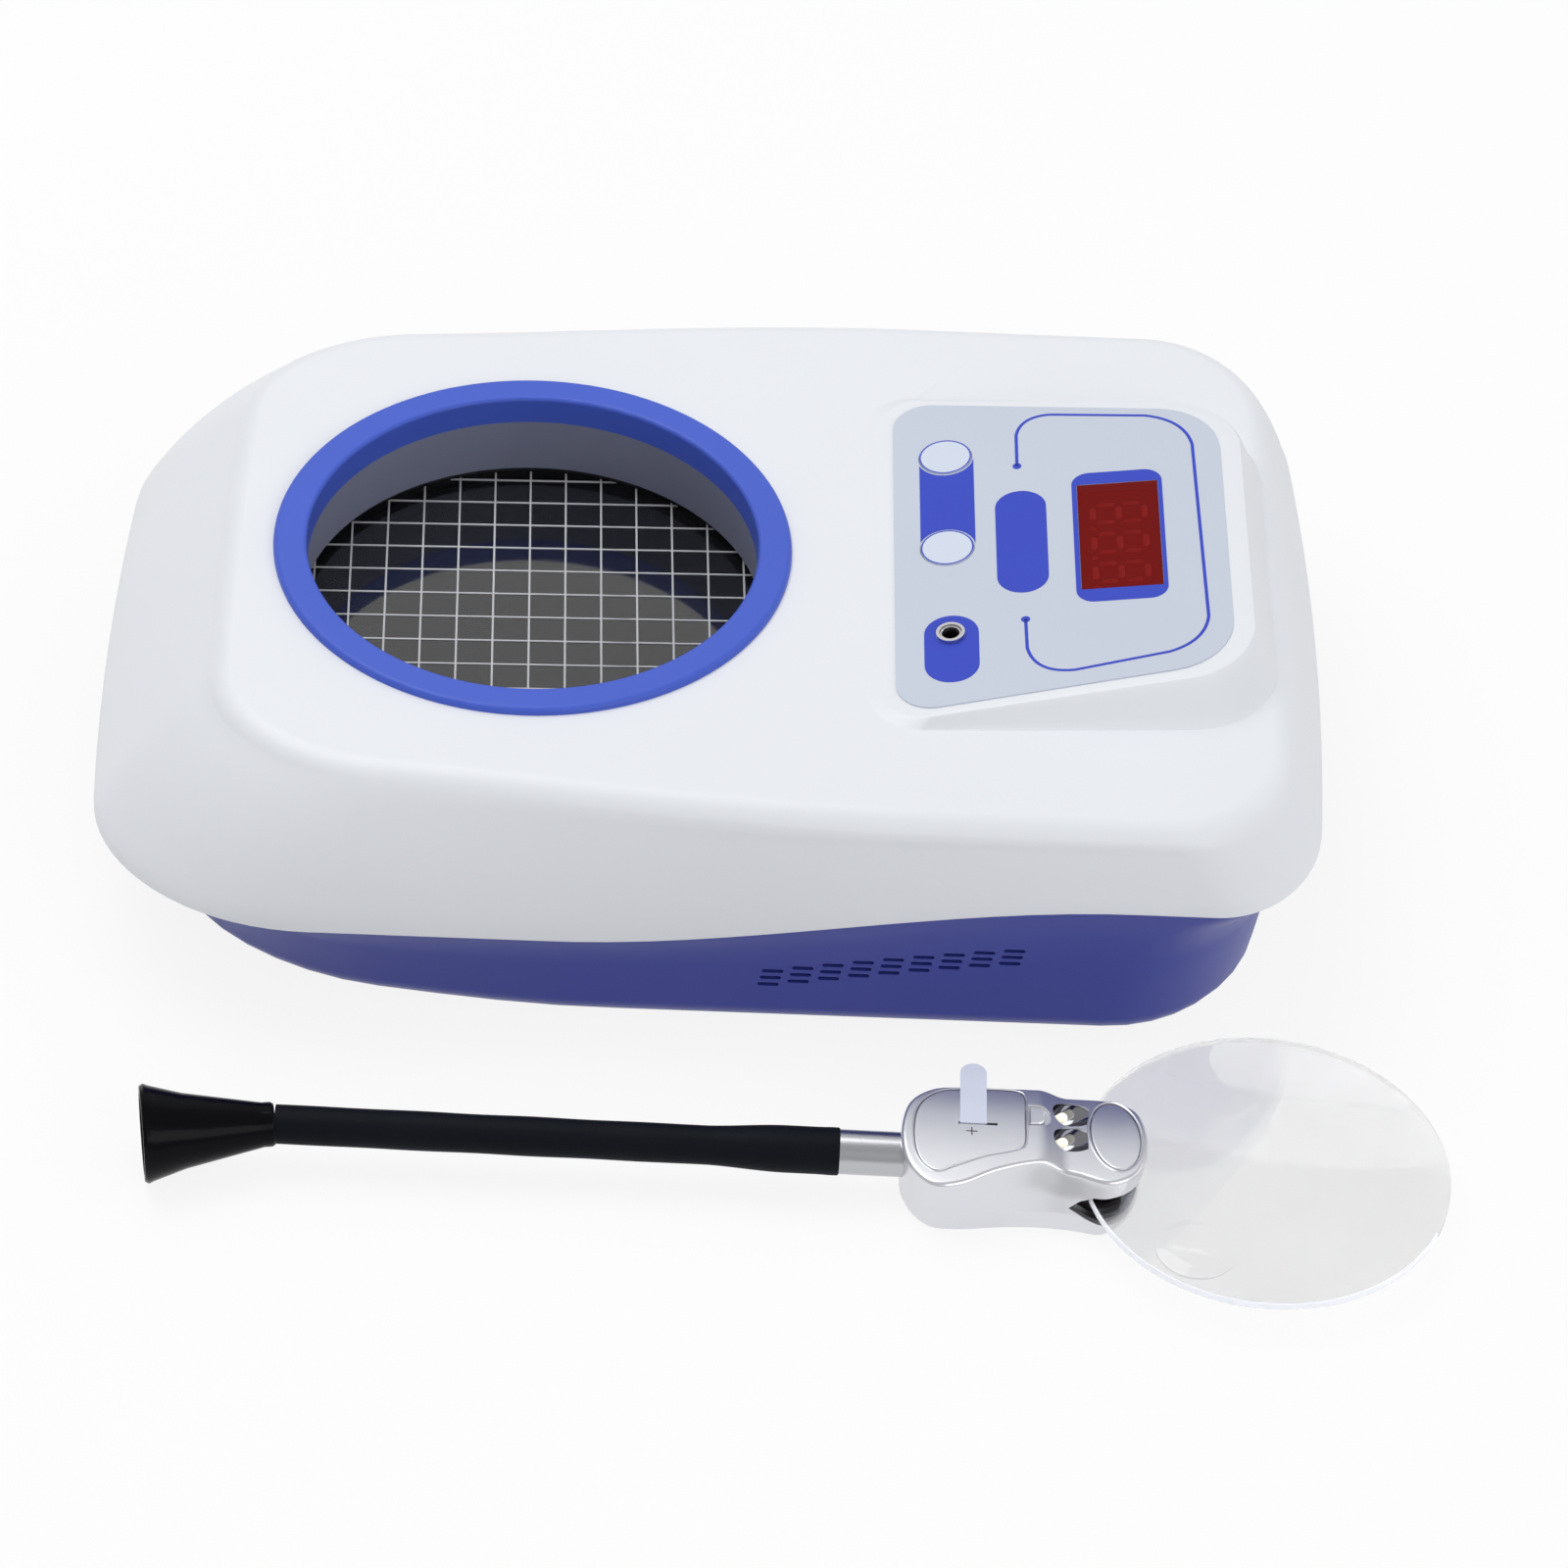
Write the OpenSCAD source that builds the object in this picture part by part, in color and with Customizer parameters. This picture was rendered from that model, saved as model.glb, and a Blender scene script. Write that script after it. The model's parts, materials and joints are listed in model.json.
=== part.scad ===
// Bench colony counter: a lit counting well with a digital display,
// and a separate lamp magnifier on a flexible neck, lying in front of it.
// Heights are measured from the table. The well's axis is the local origin of the instrument.

/* [Housing] */
// Length of the housing along the seam
housing_l = 335; // [310:1:360]
// Width of the housing along the seam
housing_w = 221; // [205:1:240]
// Height of the flat top above the table
plateau_h = 82.8; // [78:0.1:90]
// Height of the seam at the user's end
seam_low = 38; // [32:0.5:42]
// Height of the seam at the display end
seam_high = 55.5; // [48:0.5:58]
// Wall thickness of both shells
wall = 2.5; // [2:0.1:3]
// Height of the rubber feet
foot_h = 3.5; // [2.5:0.1:6]
// Radius of the rubber feet
foot_r = 9; // [7:0.5:11]
// Distance from the user's end to the well's axis
well_from_end = 117.5; // [112:0.5:125]

/* [Counting well] */
// Radius of the mouth inside the blue ring
well_r = 61.7; // [58:0.1:63]
// Outer radius of the blue ring
ring_r = 70.9; // [69:0.1:74]
// How far the blue ring stands above the top
ring_proud = 2.1; // [1.2:0.1:3.5]
// Depth of the ring's lip below its top
ring_lip = 8.5; // [6:0.1:10]
// Height of the glass stage above the table
stage_h = 58; // [54:0.5:62]
// Radius of the visible stage
stage_r = 63.9; // [62.5:0.1:65]
// Thickness of the stage glass
glass_t = 3; // [2:0.1:5]
// Pitch of the counting grid
grid_pitch = 10; // [5:0.5:20]
// Width of a grid line
grid_line = 0.7; // [0.4:0.05:1.2]
// Turn of the grid against the housing
grid_turn = 1.8; // [0:0.1:5]
// Number of lamps round the well
lamp_count = 24; // [12:1:36]

/* [Panel] */
// Tilt of the display panel
panel_tilt = 8; // [6:0.25:9]
// Length of the printed overlay along the slope
overlay_l = 91; // [88:0.5:94]
// Width of the overlay at its low end
overlay_w_low = 132; // [124:1:136]
// Width of the overlay at its high end
overlay_w_high = 107; // [96:1:112]
// Thickness of the overlay
overlay_t = 0.4; // [0.3:0.1:0.8]
// Width of the display window along the slope
window_w = 22.1; // [20:0.1:26]
// Length of the display window across the slope
window_l = 44.5; // [40:0.1:50]
// Height of a display digit
digit_h = 14.2; // [10:0.1:15]
// Radius of a key
key_r = 7.3; // [6:0.1:8]
// Travel of a key
key_travel = 0.5; // [0.3:0.05:0.8]
// Radius of the probe socket's hole
jack_hole_r = 1.8; // [1.7:0.05:1.9]
// Depth of the probe socket's hole
jack_depth = 10; // [9:0.5:10.5]

/* [Mains end] */
// Width of the mains socket's opening
socket_w = 24.5; // [24:0.1:26]
// Height of the mains socket's opening
socket_h = 16.5; // [16:0.1:17]
// Depth of the mains socket's opening
socket_d = 15; // [14:0.5:17]
// Tilt of the power rocker each way from level
rocker_tilt = 12; // [8:0.5:13]
// Number of ventilation slots along the side
vent_columns = 9; // [5:1:11]
// Number of ventilation rows
vent_rows = 3; // [2:1:4]
// Pitch of the slots along the side
vent_pitch = 8; // [7.5:0.1:9]
// Length of a ventilation slot
vent_l = 5.8; // [4:0.1:6.5]
// Height of a ventilation slot
vent_h = 1.3; // [1:0.1:1.6]

/* [Magnifier] */
// Radius of the foot's wide end
cone_r = 13.1; // [12:0.1:14]
// Length of the foot
cone_l = 34.5; // [30:0.5:40]
// Radius of the neck's sleeve
sleeve_r = 5.15; // [4.6:0.05:5.4]
// Length of the neck between the foot and the tube
sleeve_l = 147.5; // [130:0.5:170]
// Bend of one neck section
neck_bend = 25; // [15:1:30]
// Lean of the neck's hinges away from the housing
hinge_lean = 8; // [6:0.5:12]
// Radius of the steel tube
tube_r = 5.9; // [5.6:0.05:6.1]
// Visible length of the steel tube
tube_l = 16; // [10:0.5:22]
// Height of the lamp head's upper face
head_h = 20.8; // [19.5:0.1:23]
// Height of the lamp head over the lens lobe
lobe_h = 18; // [17:0.1:18.6]
// Radius of the lens
lens_r = 48.7; // [42:0.1:55]
// Edge thickness of the lens
lens_edge = 1.8; // [1.4:0.1:2.4]
// Crown of each lens face
lens_crown = 2.2; // [1.5:0.1:3]
// Height of the lens above the table
lens_z = 10; // [9:0.1:11]
// Thread core radius of the foot's insert
insert_r = 3.4; // [3:0.05:3.6]
// Depth of the foot's insert
insert_l = 12; // [10:0.5:14]

/* [Clearances] */
// Gap between the two shells along the seam
seam_gap = 0.2; // [0.15:0.05:0.4]
// Gap round a part that drops into an opening
slip = 0.2; // [0.15:0.05:0.3]
// Radial gap of a pin that turns in its bore
pin_gap = 0.05; // [0.03:0.01:0.08]

/* [Hidden] */
$fn = 64;

// ---- colours
WHITE = [0.91, 0.92, 0.94];
BLUE = [0.24, 0.28, 0.66];
SILVER = [0.75, 0.75, 0.79];

// ---- the housing's plan
half_w = housing_w / 2;
x_near = -well_from_end;
x_far = housing_l - well_from_end;
end_bow = 6;
base_rim_in = 1.3;
corner_steps = 9;
side_steps = 12;
end_steps = 5;

// ---- the panel's plane
pod_x = x_far - 123.5;
pod_z = plateau_h + 0.4;
overlay_x = 5;
window_at = [overlay_x + 61.9, 1.9];
check_at = [overlay_x + 14.6, 40.5];
reset_at = [overlay_x + 14.6, 1];
jack_at = [overlay_x + 15, -35.5];
jack_r = 3;
jack_proud = 0.8;
board_t = 1.6;
board_top = -10;

// ---- the magnifier's place
neck_at = [x_near + 57.2, -(half_w + lens_r - 2.4)];
neck_yaw = -1;
foot_turn = 10;
neck_z = cone_r + 0.05;
head_x = sleeve_l + tube_l;
head_l = 65;
lens_at = [head_x + lens_r + 47.8, 3.8];

// ---- the set's origin is the middle of its box
lens_mid = [for (i = [0:1]) neck_at[i] + lens_at[0] * [cos(neck_yaw), sin(neck_yaw)][i]
    + lens_at[1] * [-sin(neck_yaw), cos(neck_yaw)][i]];
set_mid = [(x_near + max(x_far, lens_mid[0] + lens_r)) / 2, (half_w + lens_mid[1] - lens_r) / 2];

module in_instrument() translate([-set_mid[0], -set_mid[1], 0]) children();
module in_magnifier() in_instrument() translate([neck_at[0], neck_at[1], 0])
    rotate([0, 0, neck_yaw]) children();
module on_neck(x) translate([x, 0, neck_z]) rotate([0, 90, 0]) children();
module on_panel(at = [0, 0]) in_instrument() translate([pod_x, 0, pod_z])
    rotate([0, -panel_tilt, 0]) translate([at[0], at[1], 0]) children();

// ---- functions for outlines and lofts
function smooth(t) = let (c = min(1, max(0, t))) c * c * (3 - 2 * c);
function mix(a, b, t) = a * (1 - t) + b * t;
function unit(v) = v / norm(v);

// Height of the seam above the table at x
function seam_z(x) = seam_low + (seam_high - seam_low) * smooth((x - 10) / 153);

// Half of a rounded rectangle, from the far end to the near end: w is its half width,
// cn and cf are the length and width of the near and far corners
function half_plan(xn, xf, w, cn, cf) = concat(
    [for (i = [0:end_steps - 1]) [xf, (w - cf[1]) * i / end_steps]],
    [for (i = [0:corner_steps - 1]) let (a = 90 * i / corner_steps)
        [xf - cf[0] * (1 - cos(a)), w - cf[1] * (1 - sin(a))]],
    [for (i = [0:side_steps - 1]) [mix(xf - cf[0], xn + cn[0], i / side_steps), w]],
    [for (i = [0:corner_steps - 1]) let (a = 90 * i / corner_steps)
        [xn + cn[0] * (1 - sin(a)), w - cn[1] * (1 - cos(a))]],
    [for (i = [0:end_steps - 1]) [xn, (w - cn[1]) * (1 - i / end_steps)]]
);
function whole_plan(h, xn) = concat(h, [[xn, 0]],
    [for (i = [len(h) - 1:-1:1]) [h[i][0], -h[i][1]]]);
function bowed(p, xn, xf, w, bow, ease) = [for (q = p)
    let (s = (q[0] - (xn + xf) / 2) / ((xf - xn) / 2), e = 1 - pow(q[1] / w, 2))
    [q[0] - sign(s) * pow(abs(s), 4) * bow * (1 - e), q[1] * ease[0] + q[1] * (1 - ease[0])
        * smooth((q[0] - xn) / ease[1])]];
function plan(xn, xf, w, cn, cf, bow, ease = [1, 1]) =
    bowed(whole_plan(half_plan(xn, xf, w, cn, cf), xn), xn, xf, w, bow, ease);

// Move each point of a closed outline inward by d
function inset(p, d) = let (n = len(p)) [for (i = [0:n - 1])
    let (t = unit(p[(i + 1) % n] - p[(i + n - 1) % n])) p[i] + d * [-t[1], t[0]]];
function mixed(p, q, t) = [for (i = [0:len(p) - 1]) mix(p[i], q[i], t)];
function raised(p, z) = [for (q = p) [q[0], q[1], z]];
// A ring t of the way up from height z0 to the seam
function to_seam(p, z0, t, drop = 0) = [for (q = p)
    [q[0], q[1], mix(z0, seam_z(q[0]), t) - drop]];
// A ring t of the way up from the seam to height z1
function from_seam(p, z1, t, lift = 0) = [for (q = p)
    [q[0], q[1], mix(seam_z(q[0]), z1, t) + lift]];
function centre(r) = [for (k = [0:2]) let (v = [for (q = r) q[k]]) (max(v) + min(v)) / 2];

// A polygon's corners rounded, n steps to an arc
function rounded(p, r, n) = let (m = len(p)) [for (i = [0:m - 1])
    let (
        a = unit(p[(i + m - 1) % m] - p[i]), b = unit(p[(i + 1) % m] - p[i]),
        half = acos(a * b) / 2, c = p[i] + unit(a + b) * r[i] / sin(half),
        s = atan2(-a[0], a[1]), turn = 180 - 2 * half
    )
    for (k = [0:n]) c + r[i] * [cos(s + 180 + turn * k / n), sin(s + 180 + turn * k / n)]];

// A closed surface through a chain of rings, with a point at each end
module loft(rings, start, end) {
    n = len(rings[0]);
    m = len(rings);
    points = concat([start], [for (r = rings) each r], [end]);
    first = [for (i = [0:n - 1]) [0, 1 + i, 1 + (i + 1) % n]];
    last = [for (i = [0:n - 1]) [1 + n * m, 1 + n * (m - 1) + (i + 1) % n, 1 + n * (m - 1) + i]];
    sides = [for (k = [0:m - 2], i = [0:n - 1])
        let (a = 1 + n * k + i, b = 1 + n * k + (i + 1) % n)
        each [[a, a + n, b + n], [a, b + n, b]]];
    polyhedron(points, concat(first, sides, last), convexity = 8);
}
// The same, closed at each end by strips between point k and point n - k
function strips(at, n, turn) = [for (k = [0:n / 2 - 1])
    let (
        a = at + k, b = at + k + 1, c = at + (n - k) % n, d = at + n - k - 1,
        near = [a, b, d], far = [a, d, c]
    )
    each [if (b != d) turn ? reversed(near) : near, if (a != c) turn ? reversed(far) : far]];
module strip_loft(rings) {
    n = len(rings[0]);
    m = len(rings);
    sides = [for (k = [0:m - 2], i = [0:n - 1])
        let (a = n * k + i, b = n * k + (i + 1) % n) each [[a, a + n, b + n], [a, b + n, b]]];
    polyhedron([for (r = rings) each r], concat(strips(0, n, false), sides, strips(n * (m - 1), n, true)),
        convexity = 8);
}
module solid_loft(rings) loft(rings, centre(rings[0]), centre(rings[len(rings) - 1]));

// ---- the housing's outlines
rim = plan(x_near, x_far, half_w, [62, 48], [30, 34], end_bow);
crease = plan(x_near + 31.5, x_far - 10.5, half_w - 3, [48, 44], [34, 36], 3, [0.875, 190]);
foot_plan = plan(x_near + 20, x_far - 14, half_w - 6.5, [60, 48], [44, 44], 4, [0.9, 120]);
crease_z = plateau_h - 4.2;
flank_z = foot_h + 7.5;

// Each entry: share of the way up to the seam, share of the way out to the rim
flank = [[0.5, 0.2], [0.72, 0.42], [0.86, 0.7], [0.95, 0.93]];
// Each entry: inset and height of the rounded bottom edge
bottom_edge = [[9, 0], [5, 0.8], [2, 3], [0.4, 5.6]];
// Each entry: share of the way up and of the way in from the rim to the crease
skirt = [[0.3, 0.17], [0.6, 0.46], [0.85, 0.77], [1, 1]];
// Each entry: inset and rise of the rounded crease
crease_edge = [[1.6, 1.9], [3.6, 3.3], [6.5, 4.2]];
lip_h = 3;
tongue_in = base_rim_in + wall - 0.9;

base_rim = inset(rim, base_rim_in);
function flank_ring(t, u, d) = to_seam(inset(mixed(foot_plan, base_rim, u), d), flank_z, t);
base_outer = concat(
    [for (e = bottom_edge) raised(inset(foot_plan, e[0]), foot_h + e[1])],
    [raised(foot_plan, flank_z)],
    [for (f = flank) flank_ring(f[0], f[1], 0)],
    [to_seam(base_rim, flank_z, 1, seam_gap)]);
base_inner = concat(
    [to_seam(inset(rim, tongue_in + wall + slip), flank_z, 1, seam_gap),
        to_seam(inset(rim, tongue_in + wall + slip), flank_z, 1, -lip_h),
        to_seam(inset(rim, tongue_in + 2 * wall - 0.8), flank_z, 1, -lip_h)],
    [for (k = [len(flank) - 1:-1:0]) flank_ring(flank[k][0], flank[k][1], wall + 1.6)],
    [raised(inset(foot_plan, wall + 1), flank_z),
        raised(inset(foot_plan, wall + 5), foot_h + wall)]);
function skirt_ring(t, u, d, s) = from_seam(inset(mixed(rim, crease, u), d), crease_z - s, t);
cover_outer = concat(
    [from_seam(inset(rim, 0.5), crease_z, 0), from_seam(rim, crease_z, 0, 0.6),
        from_seam(rim, crease_z, 0, 2)],
    [for (s = skirt) skirt_ring(s[0], s[1], 0, 0)],
    [for (c = crease_edge) raised(inset(crease, c[0]), crease_z + c[1])]);
cover_inner = concat(
    [for (k = [len(crease_edge) - 1:-1:0])
        raised(inset(crease, crease_edge[k][0] + wall), crease_z + crease_edge[k][1] - wall)],
    [for (k = [len(skirt) - 1:-1:0]) skirt_ring(skirt[k][0], skirt[k][1], wall, wall * skirt[k][0])],
    [from_seam(inset(rim, wall), crease_z, 0)]);

// ---- the raised wedge under the panel
pod_top_low = overlay_w_low / 2 + 3;
pod_top_high = overlay_w_high / 2 + 2.5;
pod_far = overlay_x + overlay_l + 5;
pod_steps = 8;
function slope_point(q, d) = [pod_x + q[0] * cos(panel_tilt) + d * sin(panel_tilt), q[1],
    pod_z + q[0] * sin(panel_tilt) - d * cos(panel_tilt)];
function wedge_plan(x0, x1, y0, y1, r0, r1) =
    rounded([[x0, -y0], [x1, -y1], [x1, y1], [x0, y0]], [r0, r1, r1, r0], pod_steps);
pod_top = wedge_plan(1.5, pod_far, pod_top_low, pod_top_high, 12, 21);
pod_foot = wedge_plan(pod_x - 3, pod_x + 108, pod_top_low + 3, pod_top_high + 9, 14, 26);
function pod_ring(u, d) = [for (i = [0:len(pod_top) - 1])
    let (a = slope_point(pod_top[i], d), b = [pod_foot[i][0], pod_foot[i][1], plateau_h - d])
    mix(b, a, u)];
function pod_cap(e, d) = [for (q = inset(pod_top, e)) slope_point(q, d)];

// ---- fixings of the housing
case_at = [[x_near + 47, 60], [x_near + 47, -60], [x_far - 34, 84], [x_far - 34, -84]];
foot_at = [[x_near + 64, 66], [x_near + 64, -66], [x_far - 54, 76], [x_far - 54, -76]];
boss_r = 4.5;
boss_split = 28;
case_screw_r = 1.75;
screw_head_r = 3.4;
ceiling = plateau_h - wall;
tray_r = 71.6;
tray_flange_r = 76.8;
tray_screw_r = 1.4;
tray_screw_at = [for (k = [0:3]) (tray_flange_r - 2.4) * [cos(45 + 90 * k), sin(45 + 90 * k)]];
well_hole_r = stage_r + 0.5;

// ---- the recessed mains panel at the display end
mains_x = x_far - 17;
mains_w = 76;
mains_lo = 11;
mains_hi = 44;
mains_mid = (mains_lo + mains_hi) / 2;
inlet_y = -14;
switch_y = 22;
fuse_h = 6;
inlet_w = socket_w + 3;
inlet_h = socket_h + fuse_h + 3.4;
socket_mid = mains_mid - fuse_h / 2;
fuse_mid = socket_mid + socket_h / 2 + 0.8 + fuse_h / 2;
switch_w = 13;
switch_h = 19.4;

module slot_2d(l, h) {
    translate([-(l - h) / 2, 0]) circle(d = h, $fn = 12);
    translate([(l - h) / 2, 0]) circle(d = h, $fn = 12);
    square([l - h, h], center = true);
}
module vents() {
    run = vent_pitch * (vent_columns - 1);
    for (c = [0:vent_columns - 1], r = [0:vent_rows - 1]) {
        x = 100 + c * vent_pitch - run / 2 + r * 0.5;
        z = seam_z(x) - 18 - (vent_rows - 1 - r) * 2.5 + 0.02 * (x - 100);
        translate([x, -half_w + 14, z]) rotate([90, 0, 0]) linear_extrude(16)
            slot_2d(vent_l, vent_h);
    }
}

module base_shell() color(BLUE) in_instrument() difference() {
    union() {
        loft(concat(base_outer, base_inner), centre(base_outer[0]),
            centre(base_inner[len(base_inner) - 1]));
        for (p = case_at) translate([p[0], p[1], foot_h + 0.5])
            cylinder(r = boss_r, h = boss_split - foot_h - 0.5);
        intersection() {
            solid_loft(base_outer);
            translate([mains_x - wall, -mains_w / 2 - wall, mains_lo - wall])
                cube([40, mains_w + 2 * wall, mains_hi - mains_lo + 2 * wall]);
        }
    }
    translate([mains_x, -mains_w / 2, mains_lo]) cube([40, mains_w, mains_hi - mains_lo]);
    translate([mains_x - 5, inlet_y - inlet_w / 2 - slip, mains_mid - inlet_h / 2 - slip])
        cube([10, inlet_w + 2 * slip, inlet_h + 2 * slip]);
    translate([mains_x - 5, switch_y - switch_w / 2 - slip, mains_mid - switch_h / 2 - slip])
        cube([10, switch_w + 2 * slip, switch_h + 2 * slip]);
    for (p = case_at) translate([p[0], p[1], 0]) {
        cylinder(r = case_screw_r + 0.25, h = 60);
        cylinder(r = screw_head_r + 0.4, h = foot_h + 8);
    }
    for (p = foot_at) translate([p[0], p[1], 0]) cylinder(r = foot_r / 3 + 0.1, h = 12);
    vents();
}

module top_cover() color(WHITE) {
    difference() {
        union() {
            in_instrument() difference() {
                union() {
                    loft(concat(cover_inner, cover_outer), centre(cover_inner[0]),
                        centre(cover_outer[len(cover_outer) - 1]));
                    solid_loft([pod_ring(0, wall / 2), pod_ring(0, 0), pod_ring(0.35, 0),
                        pod_ring(0.8, 0.3), pod_cap(0.8, 0.05), pod_cap(2.2, 0)]);
                }
                solid_loft([pod_ring(-0.1, wall + 2), pod_cap(4, wall)]);
            }
            intersection() {
                on_panel() for (p = board_screw_at) translate([p[0], p[1], board_top])
                    cylinder(r = 3.5, h = -board_top - 0.8);
                in_instrument() translate([0, -half_w, 0]) cube([x_far, housing_w, 200]);
            }
            in_instrument() for (p = case_at) translate([p[0], p[1], boss_split + seam_gap])
                cylinder(r = boss_r, h = ceiling - boss_split);
        }
        in_instrument() {
            cylinder(r = well_hole_r, h = 120);
            for (p = case_at) translate([p[0], p[1], 0])
                cylinder(r = case_screw_r + pin_gap, h = boss_split + 14);
            for (p = tray_screw_at) translate([p[0], p[1], 0])
                cylinder(r = tray_screw_r + pin_gap, h = ceiling + wall * 0.75);
        }
        on_panel(window_at) translate([-window_w / 2 - slip, -window_l / 2 - slip, -12])
            cube([window_w + 2 * slip, window_l + 2 * slip, 20]);
        for (p = [check_at, reset_at]) on_panel(p) translate([0, 0, -8]) cylinder(r = key_r + slip, h = 12);
        on_panel(jack_at) translate([0, 0, -8]) cylinder(r = jack_r + pin_gap, h = 12);
        on_panel() for (p = board_screw_at) translate([p[0], p[1], board_top - 5])
            cylinder(r = 1.3, h = 5 + 6.5);
    }
}

// ---- the counting well
glass_r = stage_r + 2.6;
diffuser_t = 2;
spigot_r = well_hole_r - slip;
ring_low = plateau_h + ring_proud - ring_lip;
// A quarter of a circle about c, from angle a
function quarter(c, r, a) = [for (k = [0:4]) c + r * [cos(a + 22.5 * k), sin(a + 22.5 * k)]];
module well_ring() color([0.30, 0.36, 0.82]) in_instrument() rotate_extrude($fn = 96) polygon(concat(
    [[spigot_r, ring_low], [spigot_r, plateau_h], [ring_r, plateau_h]],
    quarter([ring_r - 1.6, plateau_h + ring_proud - 1.6], 1.6, 0),
    quarter([well_r + 1.3, plateau_h + ring_proud - 1.3], 1.3, 90),
    [[well_r, ring_low]]));
module light_diffuser() color([0.80, 0.82, 0.88]) in_instrument() rotate_extrude() polygon([
    [well_r, ring_low], [stage_r, stage_h], [stage_r + diffuser_t, stage_h],
    [well_r + diffuser_t, ring_low]]);
strip_r = tray_r - 2;
strip_lo = stage_h + 1.5;
strip_h = ring_low - strip_lo - 1;
module lamp_strip() color([0.95, 0.95, 0.9]) in_instrument() {
    difference() {
        translate([0, 0, strip_lo]) cylinder(r = strip_r, h = strip_h);
        translate([0, 0, strip_lo - 1]) cylinder(r = strip_r - 1, h = strip_h + 2);
    }
    for (k = [0:lamp_count - 1]) rotate([0, 0, k * 360 / lamp_count])
        translate([strip_r - 2.2, -1.75, strip_lo + strip_h / 2 - 1.4]) cube([1.6, 3.5, 2.8]);
}
module stage_glass() color([0.6, 0.65, 0.7, 0.4]) in_instrument()
    translate([0, 0, stage_h - glass_t]) cylinder(r = glass_r, h = glass_t);
print_t = 0.2;
print_z = stage_h - glass_t - print_t;
grid_n = ceil(glass_r / grid_pitch);
module counting_grid() color("white") in_instrument() intersection() {
    translate([-0.8, -2.3, print_z]) rotate([0, 0, grid_turn]) for (k = [-grid_n:grid_n]) {
        translate([k * grid_pitch - grid_line / 2, -2 * glass_r, 0])
            cube([grid_line, 4 * glass_r, print_t]);
        translate([-2 * glass_r, k * grid_pitch - grid_line / 2, 0])
            cube([4 * glass_r, grid_line, print_t]);
    }
    translate([0, 0, print_z - 1]) cylinder(r = glass_r - 0.5, h = 3);
}
backing_t = 2.5;
module backing_plate() color([0.05, 0.05, 0.06]) in_instrument()
    translate([0, 0, print_z - backing_t]) cylinder(r = glass_r, h = backing_t);
tray_floor = print_z - backing_t;
module stage_tray() color([0.2, 0.2, 0.22]) in_instrument() difference() {
    rotate_extrude() polygon([
        [glass_r - 14, tray_floor - wall], [tray_r, tray_floor - wall], [tray_r, ceiling - wall],
        [tray_flange_r, ceiling - wall], [tray_flange_r, ceiling], [strip_r, ceiling],
        [strip_r, stage_h + 0.5], [glass_r + slip, stage_h + 0.5], [glass_r + slip, tray_floor],
        [glass_r - 14, tray_floor]]);
    for (p = tray_screw_at) translate([p[0], p[1], ceiling - wall - 1])
        cylinder(r = tray_screw_r + slip, h = wall + 2);
}
module pan_screw(r, l, head_r, head_l) {
    translate([0, 0, -0.01]) cylinder(r = r, h = l);
    difference() {
        translate([0, 0, -head_l]) cylinder(r = head_r, h = head_l);
        translate([0, 0, -head_l - 0.1]) cylinder(r = head_r * 0.45, h = head_l * 0.55, $fn = 6);
    }
}
module tray_screws() color(SILVER) in_instrument() for (p = tray_screw_at)
    translate([p[0], p[1], ceiling - wall]) pan_screw(tray_screw_r, wall * 1.7, 1.7 * tray_screw_r, 2);

// ---- the panel and what is behind it
overlay_plan = wedge_plan(overlay_x, overlay_x + overlay_l, overlay_w_low / 2,
    overlay_w_high / 2, 10, 19);
module panel_overlay() color([0.79, 0.82, 0.88]) difference() {
    on_panel() linear_extrude(overlay_t) polygon(overlay_plan);
    on_panel(window_at) translate([-window_w / 2 - slip / 2, -window_l / 2 - slip / 2, -1])
        cube([window_w + slip, window_l + slip, 3]);
    for (p = [check_at, reset_at]) on_panel(p) translate([0, 0, -1]) cylinder(r = key_r + slip, h = 3);
    on_panel(jack_at) translate([0, 0, -1]) cylinder(r = jack_r + pin_gap, h = 3);
}
window_t = 2;
window_low = overlay_t - window_t;
module display_window() color([0.5, 0.06, 0.08, 0.8]) on_panel(window_at)
    translate([-window_w / 2, -window_l / 2, window_low]) cube([window_w, window_l, window_t]);
segment_t = 0.2;
module_top = window_low - segment_t;
module display_module() color([0.12, 0.1, 0.1]) on_panel(window_at)
    translate([-9.5, -18.9, board_top]) cube([19, 37.8, module_top - board_top]);
// A segment bar l long and w wide with pointed ends, along X
module segment(l, w) linear_extrude(segment_t)
    polygon([[-l / 2, 0], [-l / 2 + w / 2, w / 2], [l / 2 - w / 2, w / 2], [l / 2, 0],
        [l / 2 - w / 2, -w / 2], [-l / 2 + w / 2, -w / 2]]);
module digit() {
    h = digit_h / 2;
    w = digit_h * 0.54;
    bar = digit_h * 0.12;
    for (y = [-w / 2, w / 2], x = [-h / 2, h / 2]) translate([x, y, 0]) segment(h - bar * 1.1, bar);
    for (x = [-h, 0, h]) translate([x, 0, 0]) rotate([0, 0, 90]) segment(w - bar * 1.1, bar);
}
module display_digits() color([0.45, 0.05, 0.06]) for (k = [-1, 0, 1])
    on_panel(window_at) translate([0, k * 12.6 - 0.8, module_top]) {
        digit();
        translate([-digit_h / 2, -digit_h * 0.27 - 2.4, 0]) cylinder(r = 0.85, h = segment_t, $fn = 24);
    }
board_l = 84;
board_w = 104;
board_x = overlay_x + 6;
board_screw_at = [for (s = [-1, 1]) each [[board_x + 26, s * (board_w / 2 - 4)],
    [board_x + board_l - 20, s * (board_w / 2 - 7)]]];
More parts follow.
